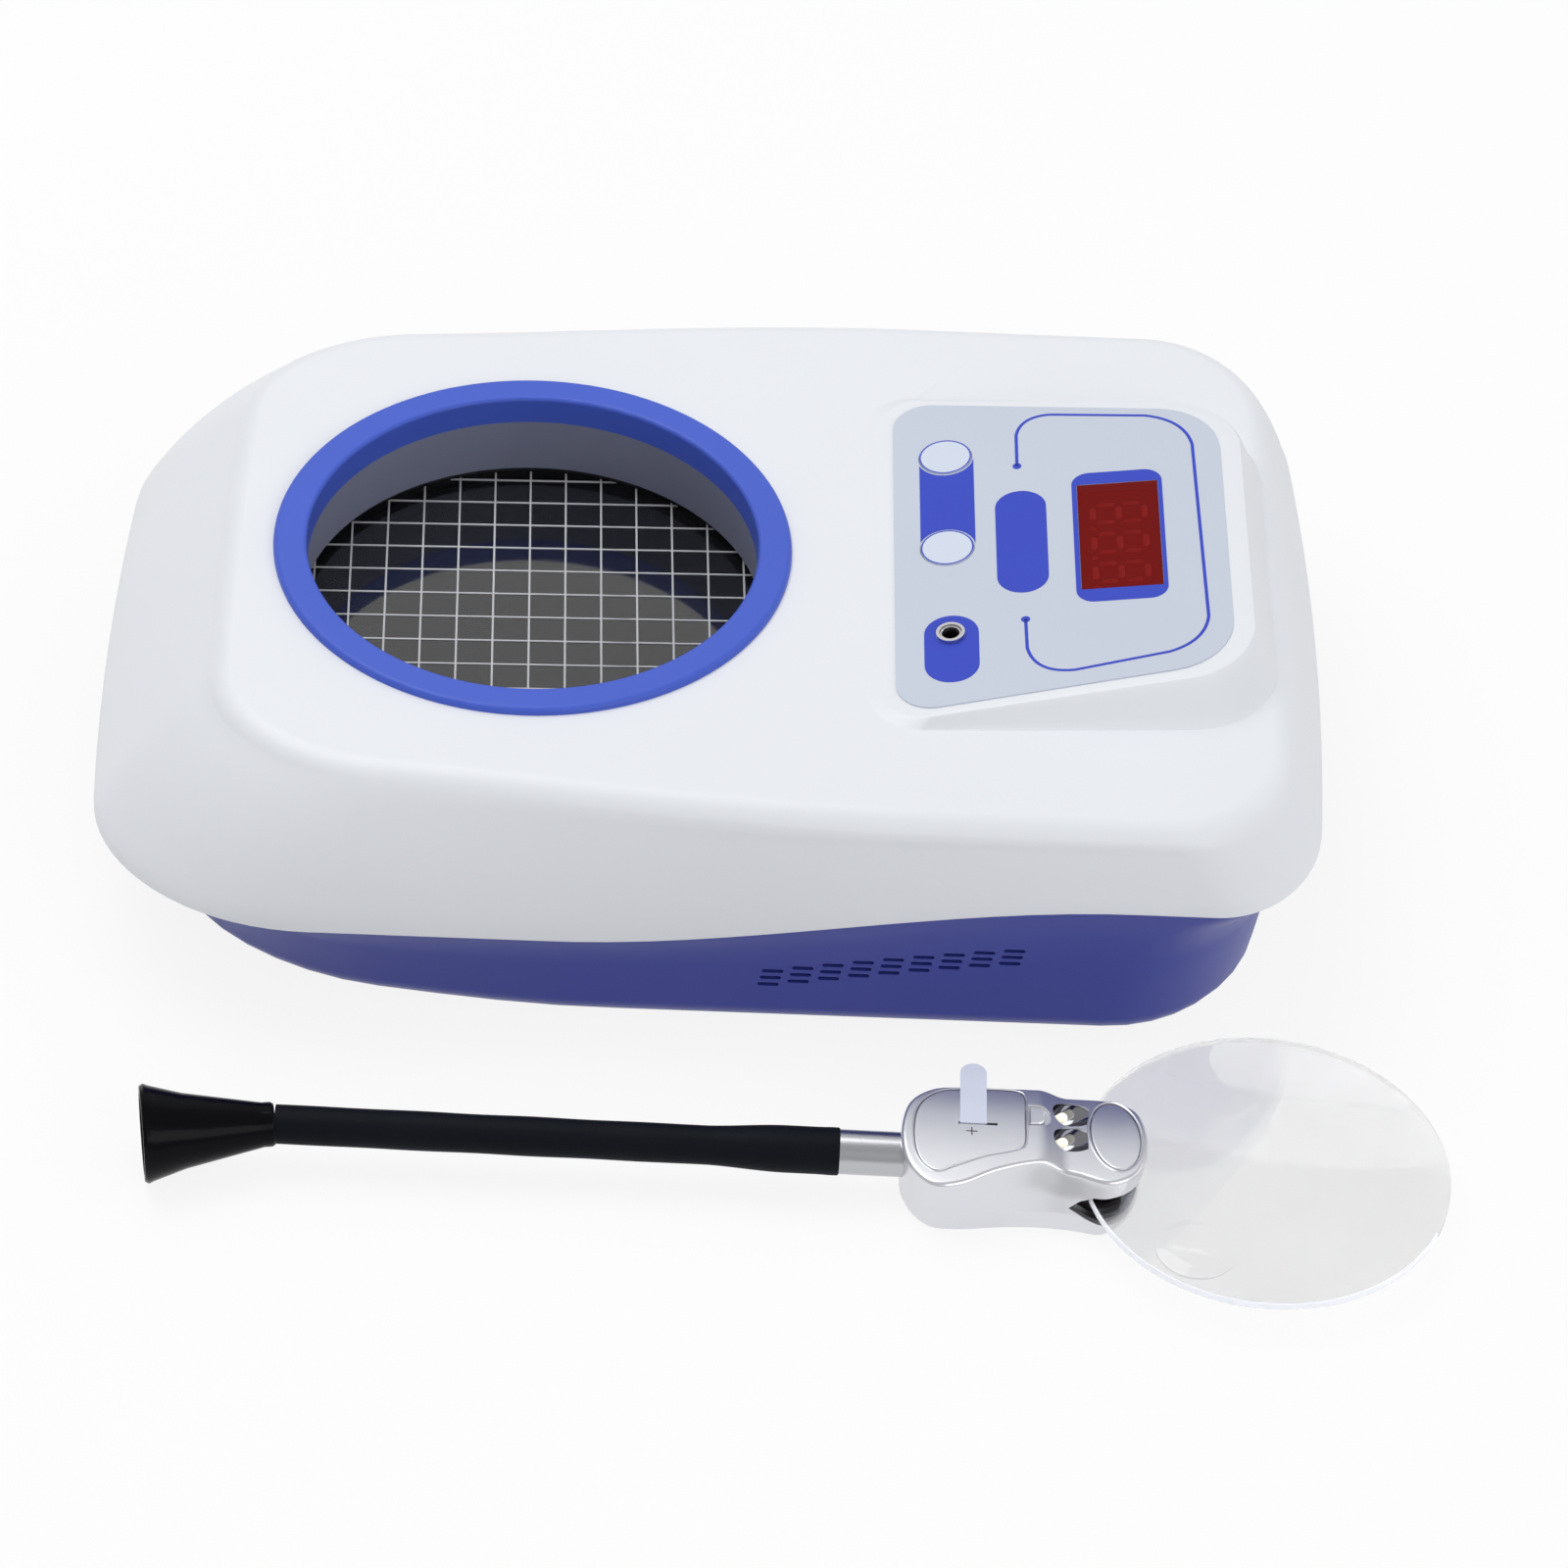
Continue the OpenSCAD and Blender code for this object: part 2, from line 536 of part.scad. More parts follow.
module control_board() color([0.1, 0.4, 0.2]) on_panel() difference() {
    translate([board_x, -board_w / 2, board_top - board_t]) cube([board_l, board_w, board_t]);
    for (p = board_screw_at) translate([p[0], p[1], board_top - 3]) cylinder(r = 1.6, h = 5);
}
module board_screws() color(SILVER) on_panel() for (p = board_screw_at)
    translate([p[0], p[1], board_top - board_t]) pan_screw(1.25, board_t + 6, 2.75, 1.8);
key_flange_top = -wall - 0.5;
key_flange_t = 1;
key_proud = overlay_t + 0.3;
plunger_top = key_flange_top - key_flange_t - key_travel - 0.15;
module key_switches() color([0.15, 0.15, 0.16]) for (p = [check_at, reset_at]) on_panel(p) {
    translate([-6, -6, board_top]) cube([12, 12, 3.5]);
    translate([0, 0, board_top + 3.4]) cylinder(r = 3.4, h = plunger_top - board_top - 3.4);
}
module key_cap(at) on_panel(at) {
    translate([0, 0, key_flange_top - 0.4]) cylinder(r = key_r, h = key_proud - key_flange_top + 0.4);
    translate([0, 0, key_flange_top - key_flange_t]) cylinder(r = key_r + 1.6, h = key_flange_t);
}
module check_key() color([0.80, 0.83, 0.90]) key_cap(check_at);
module reset_key() color([0.80, 0.83, 0.90]) key_cap(reset_at);
nut_t = jack_proud + 0.4;
module probe_jack() color([0.55, 0.55, 0.58]) on_panel(jack_at) difference() {
    union() {
        translate([0, 0, board_top]) cylinder(r = jack_r, h = overlay_t + jack_proud - board_top);
        translate([-6, -5, board_top]) cube([12, 10, -board_top - wall - 0.3]);
    }
    translate([0, 0, overlay_t + jack_proud - jack_depth])
        cylinder(r = jack_hole_r, h = jack_depth + 1);
}
module jack_nut() color([0.8, 0.8, 0.84]) on_panel(jack_at) translate([0, 0, overlay_t]) difference() {
    cylinder(r = 3.9, h = nut_t);
    translate([0, 0, -1]) cylinder(r = jack_r + pin_gap, h = nut_t + 2);
}
module beeper() color([0.08, 0.08, 0.08]) on_panel([board_x + 38, 14 - board_w / 2]) difference() {
    translate([0, 0, board_top]) cylinder(r = 6, h = 5.5);
    translate([0, 0, board_top + 4]) cylinder(r = 1, h = 3);
}

// ---- inside the base
floor_z = foot_h + wall;
main_at = [60, 0];
post_h = 6;
main_posts = [for (x = [-40, 40], y = [-30, 30]) [main_at[0] + x, main_at[1] + y]];
module main_board() color([0.1, 0.4, 0.2]) in_instrument() {
    translate([main_at[0] - 45, -35, floor_z + post_h]) cube([90, 70, board_t]);
    for (p = main_posts) translate([p[0], p[1], floor_z]) cylinder(r = 3, h = post_h + 0.01);
    translate([main_at[0] - 20, -12, floor_z + post_h + board_t]) cube([26, 12, 3.5]);
    translate([main_at[0] + 25, 14, floor_z + post_h + board_t]) cylinder(r = 6, h = 16);
    translate([main_at[0] + 25, -10, floor_z + post_h + board_t]) cylinder(r = 5, h = 12);
}
core_at = [148, -28];
module transformer() color([0.35, 0.3, 0.25]) in_instrument() translate([core_at[0], core_at[1], floor_z]) {
    translate([-24, -9, 0]) cube([48, 18, 34]);
    translate([-15, -15, 5]) cube([30, 30, 24]);
    translate([-30, -9, 0]) cube([60, 18, 1.5]);
}
flange_t = 2;
socket_bevel = 4;
module power_inlet() color([0.08, 0.08, 0.09]) in_instrument() difference() {
    union() {
        translate([mains_x - 20, inlet_y - inlet_w / 2, mains_mid - inlet_h / 2])
            cube([20.5, inlet_w, inlet_h]);
        translate([mains_x, inlet_y - inlet_w / 2 - 2, mains_mid - inlet_h / 2 - 1.8])
            cube([flange_t, inlet_w + 4, inlet_h + 3.6]);
    }
    translate([mains_x + flange_t - socket_d, inlet_y, socket_mid]) rotate([90, 0, 90])
        linear_extrude(socket_d + 5) polygon([
            [-socket_w / 2, -socket_h / 2], [socket_w / 2, -socket_h / 2],
            [socket_w / 2, socket_h / 2 - socket_bevel], [socket_w / 2 - socket_bevel, socket_h / 2],
            [-socket_w / 2 + socket_bevel, socket_h / 2], [-socket_w / 2, socket_h / 2 - socket_bevel]]);
    translate([mains_x - 16, inlet_y - 9 - slip, fuse_mid - fuse_h / 2 + slip])
        cube([30, 18 + 2 * slip, fuse_h - 2 * slip]);
    inlet_blades(0.02);
}
module inlet_blades(g) for (p = [[-7, -2], [7, -2], [0, 2.5]])
    translate([mains_x - 24, inlet_y + p[0] - 1 - g, socket_mid + p[1] - 2 - g])
        cube([22, 2 + 2 * g, 4 + 2 * g]);
module inlet_pins() color([0.8, 0.75, 0.5]) in_instrument() inlet_blades(0);
module fuse_drawer() color([0.1, 0.1, 0.11]) in_instrument() difference() {
    translate([mains_x - 15, inlet_y - 9, fuse_mid - fuse_h / 2 + 2 * slip])
        cube([15 + flange_t + 0.6, 18, fuse_h - 4 * slip]);
    translate([mains_x + flange_t - 0.6, inlet_y - 3, fuse_mid - 3]) cube([3, 6, 1.6]);
}
pivot_x = mains_x - 2.6;
pivot_r = 1;
module switch_body() color([0.08, 0.08, 0.09]) in_instrument() difference() {
    union() {
        translate([mains_x - 14, switch_y - switch_w / 2, mains_mid - switch_h / 2])
            cube([14.5, switch_w, switch_h]);
        translate([mains_x, switch_y - switch_w / 2 - 1, mains_mid - switch_h / 2 - 1])
            cube([flange_t, switch_w + 2, switch_h + 2]);
    }
    difference() {
        translate([pivot_x - 3.4, switch_y - switch_w / 2 + 1, mains_mid - switch_h / 2 + 1])
            cube([20, switch_w - 2, switch_h - 2]);
        translate([pivot_x, switch_y, mains_mid]) rotate([90, 0, 0])
            cylinder(r = pivot_r, h = switch_w, center = true);
    }
}
rocker_w = switch_w - 2 - 0.5;
rocker_h = switch_h / 2 - 2.3;
module power_rocker() color([0.1, 0.1, 0.1]) in_instrument() translate([pivot_x, switch_y, mains_mid])
    rotate([0, rocker_tilt, 0]) rotate([90, 0, 0]) difference() {
        linear_extrude(rocker_w, center = true) polygon([[5.6, -rocker_h], [4.2, 0], [5.6, rocker_h],
            [1.5, rocker_h], [-1.9, 2.6], [-1.9, -2.6], [1.5, -rocker_h]]);
        cylinder(r = pivot_r + pin_gap, h = switch_w, center = true);
    }
module rubber_feet() color([0.12, 0.12, 0.13]) in_instrument() for (p = foot_at)
    translate([p[0], p[1], 0]) {
    cylinder(r1 = foot_r - 0.8, r2 = foot_r, h = foot_h);
    cylinder(r = foot_r / 3, h = foot_h + wall);
}
module case_screws() color(SILVER) in_instrument() for (p = case_at)
    translate([p[0], p[1], foot_h + 8])
        pan_screw(case_screw_r, boss_split + 2.5 - foot_h, screw_head_r, 2.6);

// ---- the magnifier's foot and neck
stub_l = 8;
joint_pitch = (sleeve_l - stub_l - 6) / 4;
joints_x = [for (k = [0:2]) stub_l + (k + 0.5) * joint_pitch];
cone_small = sleeve_r + 0.25;
neck_seat = 1.6;
foot_recess = 1.5;
insert_z = cone_l - insert_l - foot_recess;
module in_foot() in_magnifier() translate([0, 0, neck_z]) rotate([0, 0, foot_turn])
    rotate([0, -90, 0]) children();
// Along the foot: z runs from the small end to the wide end
module neck_foot() color([0.05, 0.05, 0.06]) difference() {
    in_foot() rotate_extrude() polygon([
        [0, 0], [cone_small, 0], [cone_small + 0.5, 0.8], [cone_small + 0.5, 3],
        [cone_r - 3.2, cone_l * 0.68], [cone_r - 0.6, cone_l * 0.93], [cone_r, cone_l - 1],
        [cone_r - 0.6, cone_l], [0, cone_l]]);
    in_foot() {
        translate([0, 0, insert_z]) cylinder(r = insert_r + 2, h = insert_l + 5);
        translate([0, 0, cone_l - foot_recess]) cylinder(r = cone_r - 2.4, h = 5);
    }
    in_magnifier() on_neck(-neck_seat) cylinder(r = sleeve_r + pin_gap, h = neck_seat + 10);
}
module foot_insert() color([0.78, 0.62, 0.3]) in_foot() translate([0, 0, insert_z]) difference() {
    cylinder(r = insert_r + 2, h = insert_l);
    translate([0, 0, -1]) cylinder(r = insert_r, h = insert_l + 2);
}
ball_gap = 0.3;
ball_r = sleeve_r - 0.05;
// Half the width of a ball between its two flats, and the length of the ears beside them
ball_flat = sleeve_r * 0.78;
ear_l = 3;
neck_pin_r = 1.2;
// The hinge line through a joint, turned about the neck so that the head lifts clear of the housing
module on_hinge(x) translate([x, 0, neck_z]) rotate([hinge_lean, 0, 0]) rotate([90, 0, 0]) children();
// A length of neck from x0 to x1: a fork with a pin at its near end, a pinned ball at its far end
module neck_piece(x0, x1, fork, ball, flare = 0) {
    lead = fork ? ear_l : 0;
    cheek = ball_flat + ball_gap / 2;
    across = 4 * sleeve_r;
    difference() {
        union() {
            on_neck(x0 - lead) cylinder(r = sleeve_r, h = x1 - x0 + lead - flare);
            if (flare > 0) {
                on_neck(x1 - flare) cylinder(r1 = sleeve_r, r2 = tube_r + 0.35, h = flare * 0.4);
                on_neck(x1 - flare * 0.6) cylinder(r = tube_r + 0.35, h = flare * 0.6);
            }
            if (ball) translate([x1, 0, neck_z]) sphere(r = ball_r);
        }
        if (fork) on_hinge(x0) {
            translate([-2 * lead, -across / 2, -cheek]) cube([2 * lead, across, 2 * cheek]);
            intersection() {
                sphere(r = ball_r + ball_gap);
                cube([across, across, 2 * cheek], center = true);
            }
        }
        if (ball) on_hinge(x1) {
            for (k = [0, 1]) mirror([0, 0, k]) translate([-1.5 * ear_l, -across / 2, ball_flat])
                cube([across, across, sleeve_r]);
            cylinder(r = neck_pin_r + pin_gap, h = across, center = true);
        }
    }
    if (fork) on_hinge(x0) cylinder(r = neck_pin_r, h = 2 * sleeve_r - 0.8, center = true);
}
module neck_stub() color([0.1, 0.1, 0.11]) in_magnifier()
    neck_piece(-neck_seat, joints_x[0], false, true);
module neck_link_1() color([0.1, 0.1, 0.11]) in_magnifier()
    neck_piece(joints_x[0], joints_x[1], true, true);
module neck_link_2() color([0.1, 0.1, 0.11]) in_magnifier()
    neck_piece(joints_x[1], joints_x[2], true, true);
module neck_link_3() color([0.1, 0.1, 0.11]) in_magnifier()
    neck_piece(joints_x[2], sleeve_l, true, false, 30);
module support_tube() color(SILVER) in_magnifier() difference() {
    on_neck(sleeve_l) cylinder(r = tube_r, h = tube_l + 8);
    on_neck(sleeve_l - 1) cylinder(r = tube_r - 1, h = tube_l + 12);
}

// ---- the lamp head: x from its neck end, y across, z from the table
head_wall = 1.6;
split_z = 7;
head_steps = 4;
// The outlines' points lie in pairs with the same x, so that strips can close them
head_top_plan = [[0, 1], [2, -9.5], [8, -16.2], [16, -15.6], [26, -10.4], [37, -7.2], [46, -8.6],
    [55, -10.9], [62.5, -6.5], [head_l, 4.5], [62.5, 15.5], [55, 19.5], [46, 20], [37, 20],
    [26, 19.8], [16, 19.6], [8, 18.2], [2, 12.4]];
head_low_plan = [[0.4, 1], [2.2, -8], [8, -14.2], [16, -15], [27, -13.6], [37, -13], [46, -13.6],
    [54, -14.4], [60.5, -9], [63.5, 3], [60.5, 14], [54, 18.2], [46, 19], [37, 19],
    [27, 19], [16, 18.7], [8, 17.1], [2.2, 11.6]];
function spline(p, n) = let (m = len(p)) [for (i = [0:m - 1], k = [0:n - 1])
    let (a = p[(i + m - 1) % m], b = p[i], c = p[(i + 1) % m], d = p[(i + 2) % m], t = k / n)
    b + 0.5 * t * (c - a + t * (2 * a - 5 * b + 4 * c - d + t * (3 * (b - c) + d - a)))];
head_top_line = spline(head_top_plan, head_steps);
head_low_line = spline(head_low_plan, head_steps);
function head_z(x, d = 0) = head_h - d - (head_h - lobe_h) * smooth((x - 36) / 8);
// A ring u of the way from the low to the top outline, at share t of the height
function head_ring(u, d, t) = [for (q = inset(mixed(head_low_line, head_top_line, u), d))
    [q[0], q[1], mix(split_z, head_z(q[0]), t)]];
// A ring on the upper face, drawn in toward the head's spine
function spine_ring(e, d) = [for (q = inset(head_top_line, 1.4 + d))
    let (x = mix(q[0], min(50, max(14, q[0])), e)) [x, mix(q[1], 3.2, e), head_z(x, d)]];
head_low_rings = [raised(inset(head_low_line, 3), 0), raised(inset(head_low_line, 1), 0.7),
    raised(head_low_line, 3), head_ring(0.15, 0, 0)];
function head_high(d) = concat([head_ring(0.15, d, 0), head_ring(0.5, d, 0.45)],
    [[for (q = inset(head_top_line, d)) [q[0], q[1], head_z(q[0], 1.4 + d * 0.4)]]],
    [[for (q = inset(head_top_line, 0.5 + d)) [q[0], q[1], head_z(q[0], 0.4 + d)]]],
    [for (e = [0, 0.4, 0.8]) spine_ring(e, d)]);
function reversed(v) = [for (i = [len(v) - 1:-1:0]) v[i]];
module in_head() in_magnifier() translate([head_x, 0, 0]) children();

door_plan = spline([[3.4, 2.6], [4.6, -7], [9, -11.8], [15, -9.4], [22, -6], [29.5, -3.6], [32.4, -1.2],
    [32.6, 7], [32.4, 15.6], [29.6, 18.2], [19, 18], [10.5, 17], [5, 11.6]], 4);
door_t = 1;
tab_x = 15.4;
tab_w = 7;
tab_y = 5.1;
cell_r = 5.8;
cell_h = 3;
cell_at = [18.9, 12.2];
latch_at = [32.6, 9.6];
led_at = [[43.5, 3.8], [43.5, 13]];
led_lean = 48;
pad_at = [56.4, 6];
pad_size = [6.5, 12.2];
pad_turn = 7;
pad_travel = 0.6;
head_screw_at = [[38.6, -3.2], [38.6, 17]];
slot_x = 44.5;
// The lens slot leaves this much of the lobe above it, for the board and the button
lobe_depth = 5;
slot_top = lobe_h - lobe_depth;
head_board_t = 1.2;
// The board lies just over the lens slot, between the lamps and the far wall
head_board_z = slot_top + 0.15;
head_board_at = [41.2, -4.4];
head_board_size = [18.3, 18.9];
// The button's underside, and the switch below it that stops the button's travel
button_foot_z = lobe_h - head_wall - 1.1;
switch_top_z = button_foot_z - pad_travel - 0.06;
lens_off = [lens_at[0] - head_x, lens_at[1]];

// The gap round the lens, seen from the side: pointed at its near end
slot_side = [[slot_x, 8.6], [47.5, 11], [51, 12.6], [56, slot_top], [70, slot_top + 0.6], [70, 3.6],
    [58, 4.2], [53, 5], [49, 6.4]];
module slot_form(grow) translate([0, 60, 0]) rotate([90, 0, 0]) linear_extrude(120)
    polygon(inset(reversed(slot_side), grow));
// A lamp's tilted axis
module at_lamp(p) translate([p[0] - 3.2, p[1], head_z(p[0]) - 3.6]) rotate([0, led_lean, 0]) children();
led_r = 1.5;
// The outside of a lamp's reflector, grown by g
module lamp_cup(g) translate([0, 0, -0.8 - g]) cylinder(r1 = led_r + 1.1 + g, r2 = 6.3 + g, h = 10 + 2 * g);

module head_base() color(SILVER) in_head() difference() {
    union() {
        loft(concat(head_low_rings, [head_ring(0.15, head_wall, 0),
            raised(inset(head_low_line, head_wall), 3),
            raised(inset(head_low_line, head_wall + 2), head_wall)]),
            centre(head_low_rings[0]), centre(raised(head_low_line, head_wall)));
        for (x = [cell_at[0] - cell_r - 1.4, cell_at[0] + cell_r + 0.2])
            translate([x, -5, head_wall - 0.5]) cube([1.2, 11, 11]);
        translate([slot_x + 1, -5, head_wall - 0.5]) cube([12, 16, split_z - head_wall + 0.4]);
        for (p = head_screw_at) translate([p[0], p[1], 0.6]) cylinder(r = 2.4, h = split_z - 0.7);
    }
    slot_form(0);
    for (p = head_screw_at) translate([p[0], p[1], -1]) {
        cylinder(r = 1.2, h = 12);
        cylinder(r = 2.0, h = 3.2);
    }
}
module oval(grow) rotate([0, 0, pad_turn]) polygon([for (k = [0:39])
    [(pad_size[0] + grow) * cos(9 * k), (pad_size[1] + grow) * sin(9 * k)]]);
module head_cover() color(SILVER) difference() {
    in_head() union() {
        difference() {
            strip_loft(concat(reversed(head_high(head_wall)), head_high(0)));
            slot_form(0);
        }
        intersection() {
            strip_loft(head_high(0.3));
            for (p = led_at) at_lamp(p) lamp_cup(0);
        }
        for (p = head_screw_at) translate([p[0], p[1], split_z + 0.1])
            cylinder(r = 2.3, h = head_z(p[0]) - split_z - 1);
    }
    in_head() {
        translate([0, 0, head_h - door_t]) linear_extrude(5) polygon(inset(door_plan, -slip / 2));
        translate([0, 0, head_h - 6]) linear_extrude(10) polygon(inset(door_plan, 1.6));
        translate([latch_at[0] - 1, latch_at[1] - 4.2, head_h - 1.2]) cube([6.4, 8.4, 5]);
        for (p = led_at) at_lamp(p) {
            cylinder(r1 = led_r + slip, r2 = 4.6, h = 9);
            translate([0, 0, -3]) cylinder(r = led_r + slip, h = 4);
        }
        translate([pad_at[0], pad_at[1], lobe_h - 5]) linear_extrude(10) oval(slip / 2);
        for (p = head_screw_at) translate([p[0], p[1], split_z - 1]) cylinder(r = 0.95, h = 8);
    }
    in_magnifier() on_neck(head_x - 5) cylinder(r = tube_r + 0.05, h = 14.5);
}
module battery_door() color(SILVER) in_head() difference() {
    union() {
        translate([0, 0, head_h - door_t + 0.02]) linear_extrude(door_t)
            polygon(inset(door_plan, slip / 2));
        translate([latch_at[0] - 0.6, latch_at[1] - 3.2, head_h - 1.05]) cube([2, 6.4, 0.9]);
    }
    translate([tab_x - 0.4, tab_y - 0.3, head_h - 5]) cube([tab_w + 3.2, 0.85, 10]);
}
module pull_tab() color([0.9, 0.93, 0.98, 0.8]) in_head() {
    translate([tab_x, tab_y, head_h + 0.05]) cube([tab_w, 18.4, 0.25]);
    translate([tab_x + tab_w / 2, tab_y + 18.4, head_h + 0.05]) cylinder(r = tab_w / 2, h = 0.25);
    translate([tab_x, tab_y, cell_at[1] - 2]) cube([tab_w, 0.25, head_h - cell_at[1] + 2.3]);
}
module button_cells() color([0.8, 0.8, 0.8]) in_head() for (k = [0:2])
    translate([cell_at[0], tab_y - 0.1 - k * (cell_h + 0.05), cell_at[1]]) rotate([90, 0, 0]) {
        cylinder(r = cell_r, h = cell_h - 0.4);
        cylinder(r = cell_r - 1, h = cell_h);
    }
cells_end = tab_y - 0.1 - 3 * cell_h - 0.1;
module battery_springs() color([0.85, 0.8, 0.6]) in_head() {
    translate([cell_at[0] - 4, tab_y + 0.3, head_wall]) cube([8, 0.4, 13]);
    translate([cell_at[0] - 4, cells_end - 1.7, head_wall]) cube([8, 0.4, 13]);
    translate([cell_at[0], cells_end - 0.02, cell_at[1]]) rotate([90, 0, 0])
        cylinder(r1 = 2, r2 = 3, h = 1.4);
}
module head_board() color([0.1, 0.4, 0.2]) in_head() difference() {
    union() {
        translate([head_board_at[0], head_board_at[1], head_board_z])
            cube([head_board_size[0], head_board_size[1], head_board_t]);
        translate([pad_at[0], pad_at[1], head_board_z + 0.1])
            cylinder(r = 2, h = switch_top_z - head_board_z - 0.1);
    }
    for (p = led_at) at_lamp(p) {
        lamp_cup(slip);
        translate([0, 0, -4]) cylinder(r = led_r + slip, h = 5);
    }
}
module head_leds() color([0.95, 0.95, 0.85]) in_head() for (p = led_at) at_lamp(p) {
    translate([0, 0, -1.2]) cylinder(r = led_r, h = 2.6);
    translate([0, 0, 1.4]) sphere(r = led_r);
}
module light_button() color(SILVER) in_head() translate([pad_at[0], pad_at[1], 0]) {
    translate([0, 0, lobe_h - head_wall - 0.8]) linear_extrude(head_wall + 0.95) oval(-slip / 2);
    translate([0, 0, button_foot_z]) cylinder(r = 5, h = 0.8);
}
// The lens grown by g on all sides
module lens_form(g) translate([lens_off[0], lens_off[1], lens_z]) {
    face = [for (k = [0:10]) let (t = k / 10)
        [(lens_r + g) * t, lens_edge / 2 + g + lens_crown * (1 - t * t)]];
    rotate_extrude($fn = 96) polygon(concat(face, [for (q = reversed(face)) [q[0], -q[1]]]));
}
insert_at = [-19, -30.5];
module lens() color([0.9, 0.93, 0.95, 0.3]) in_head() {
    lens_form(0);
    translate([lens_off[0] + insert_at[0], lens_off[1] + insert_at[1], lens_z]) rotate_extrude($fn = 48)
        polygon([[0, 0], [11, 0], [11, lens_edge / 2 + 0.9], [8, lens_edge / 2 + 1.7],
            [4, lens_edge / 2 + 2.2], [0, lens_edge / 2 + 2.4]]);
}
module lens_clamp() color([0.15, 0.15, 0.17]) in_head() difference() {
    intersection() {
        slot_form(0.08);
        translate([0, 0, 1]) linear_extrude(20)
            polygon(inset(mixed(head_low_line, head_top_line, 0.4), 2.2));
        translate([slot_x, -30, 0]) cube([14, 60, 40]);
    }
    lens_form(0.05);
}
module head_screws() color([0.3, 0.3, 0.32]) in_head() for (p = head_screw_at)
    translate([p[0], p[1], 2.2]) pan_screw(0.9, 10, 1.8, 1.4);

base_shell();
top_cover();
well_ring();
light_diffuser();
lamp_strip();
stage_glass();
counting_grid();
backing_plate();
stage_tray();
tray_screws();
panel_overlay();
display_window();
display_module();
display_digits();
control_board();
key_switches();
check_key();
reset_key();
probe_jack();
jack_nut();
beeper();
board_screws();
main_board();
transformer();
power_inlet();
inlet_pins();
fuse_drawer();
switch_body();
power_rocker();
rubber_feet();
case_screws();
neck_foot();
foot_insert();
neck_stub();
neck_link_1();
neck_link_2();
neck_link_3();
support_tube();
head_base();
head_cover();
battery_door();
pull_tab();
button_cells();
battery_springs();
head_board();
head_leds();
light_button();
lens_clamp();
lens();
head_screws();
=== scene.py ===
import json
import math

import bmesh
import bpy
import numpy as np
from mathutils import Matrix, Vector
from mathutils.geometry import tessellate_polygon


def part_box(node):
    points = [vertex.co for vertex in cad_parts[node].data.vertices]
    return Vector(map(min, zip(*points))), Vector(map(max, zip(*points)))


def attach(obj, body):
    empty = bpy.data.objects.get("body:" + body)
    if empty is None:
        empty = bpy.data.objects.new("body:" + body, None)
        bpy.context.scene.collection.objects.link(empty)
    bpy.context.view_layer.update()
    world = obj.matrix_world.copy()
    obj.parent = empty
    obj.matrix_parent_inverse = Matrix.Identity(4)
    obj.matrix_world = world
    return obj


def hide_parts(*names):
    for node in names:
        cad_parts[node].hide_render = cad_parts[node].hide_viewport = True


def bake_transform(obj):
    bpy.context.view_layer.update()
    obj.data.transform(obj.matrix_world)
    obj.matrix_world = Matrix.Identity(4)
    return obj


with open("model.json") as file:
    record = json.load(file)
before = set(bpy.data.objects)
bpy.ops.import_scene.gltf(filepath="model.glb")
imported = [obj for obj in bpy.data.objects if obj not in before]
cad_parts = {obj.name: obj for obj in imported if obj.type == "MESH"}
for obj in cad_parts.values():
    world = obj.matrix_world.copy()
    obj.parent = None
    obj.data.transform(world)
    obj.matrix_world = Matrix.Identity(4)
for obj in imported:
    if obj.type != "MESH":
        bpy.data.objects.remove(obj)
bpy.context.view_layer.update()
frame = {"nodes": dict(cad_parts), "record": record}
nodes = frame["nodes"]

MM = 0.001
# The instrument's own origin is on the well's axis; the set's is the middle of its box.
SET_MID = (65.4634, -47.8691)
NECK_AT = (-60.3, -156.8)
NECK_YAW = math.radians(-1)
NECK_Z = 13.15
HEAD_X = 163.5
PANEL_AT = (94.0, 83.2)
TILT = math.radians(8)
OVERLAY_T = 0.4
PLATEAU = 82.8
WELL_R = 64.4
# Places on the panel: along its slope from its lower end, and across it
KEYS, KEY_HOLE_R = ((19.6, 40.5), (19.6, 1.0)), 7.5
WINDOW_AT, WINDOW_HALF = (66.9, 1.9), (11.25, 22.45)
JACK_AT, JACK_R, JACK_BORE_R = (20, -35.5), 3.0, 1.8
JACK_FOOT, JACK_BODY, JACK_PROUD = -10.0, 7.2, 0.8


# ---- places: each turns millimetres in a local frame into metres in the row frame
def instrument(p):
    return Vector(((p[0] - SET_MID[0]) * MM, (p[1] - SET_MID[1]) * MM, p[2] * MM))


def panel(p):
    c, s = math.cos(TILT), math.sin(TILT)
    return instrument((PANEL_AT[0] + p[0] * c - p[2] * s, p[1], PANEL_AT[1] + p[0] * s + p[2] * c))


def magnifier(p):
    c, s = math.cos(NECK_YAW), math.sin(NECK_YAW)
    return instrument((NECK_AT[0] + p[0] * c - p[1] * s, NECK_AT[1] + p[0] * s + p[1] * c, p[2]))


def head(p):
    return magnifier((HEAD_X + p[0], p[1], p[2]))


# ---- materials
def node_of(tree, kind, **values):
    n = tree.nodes.new(kind)
    for k, v in values.items():
        if hasattr(n, k) and k not in n.inputs:
            setattr(n, k, v)
        else:
            n.inputs[k].default_value = v
    return n


def shade(rgb, f):
    return (min(1, rgb[0] * f), min(1, rgb[1] * f), min(1, rgb[2] * f), 1)


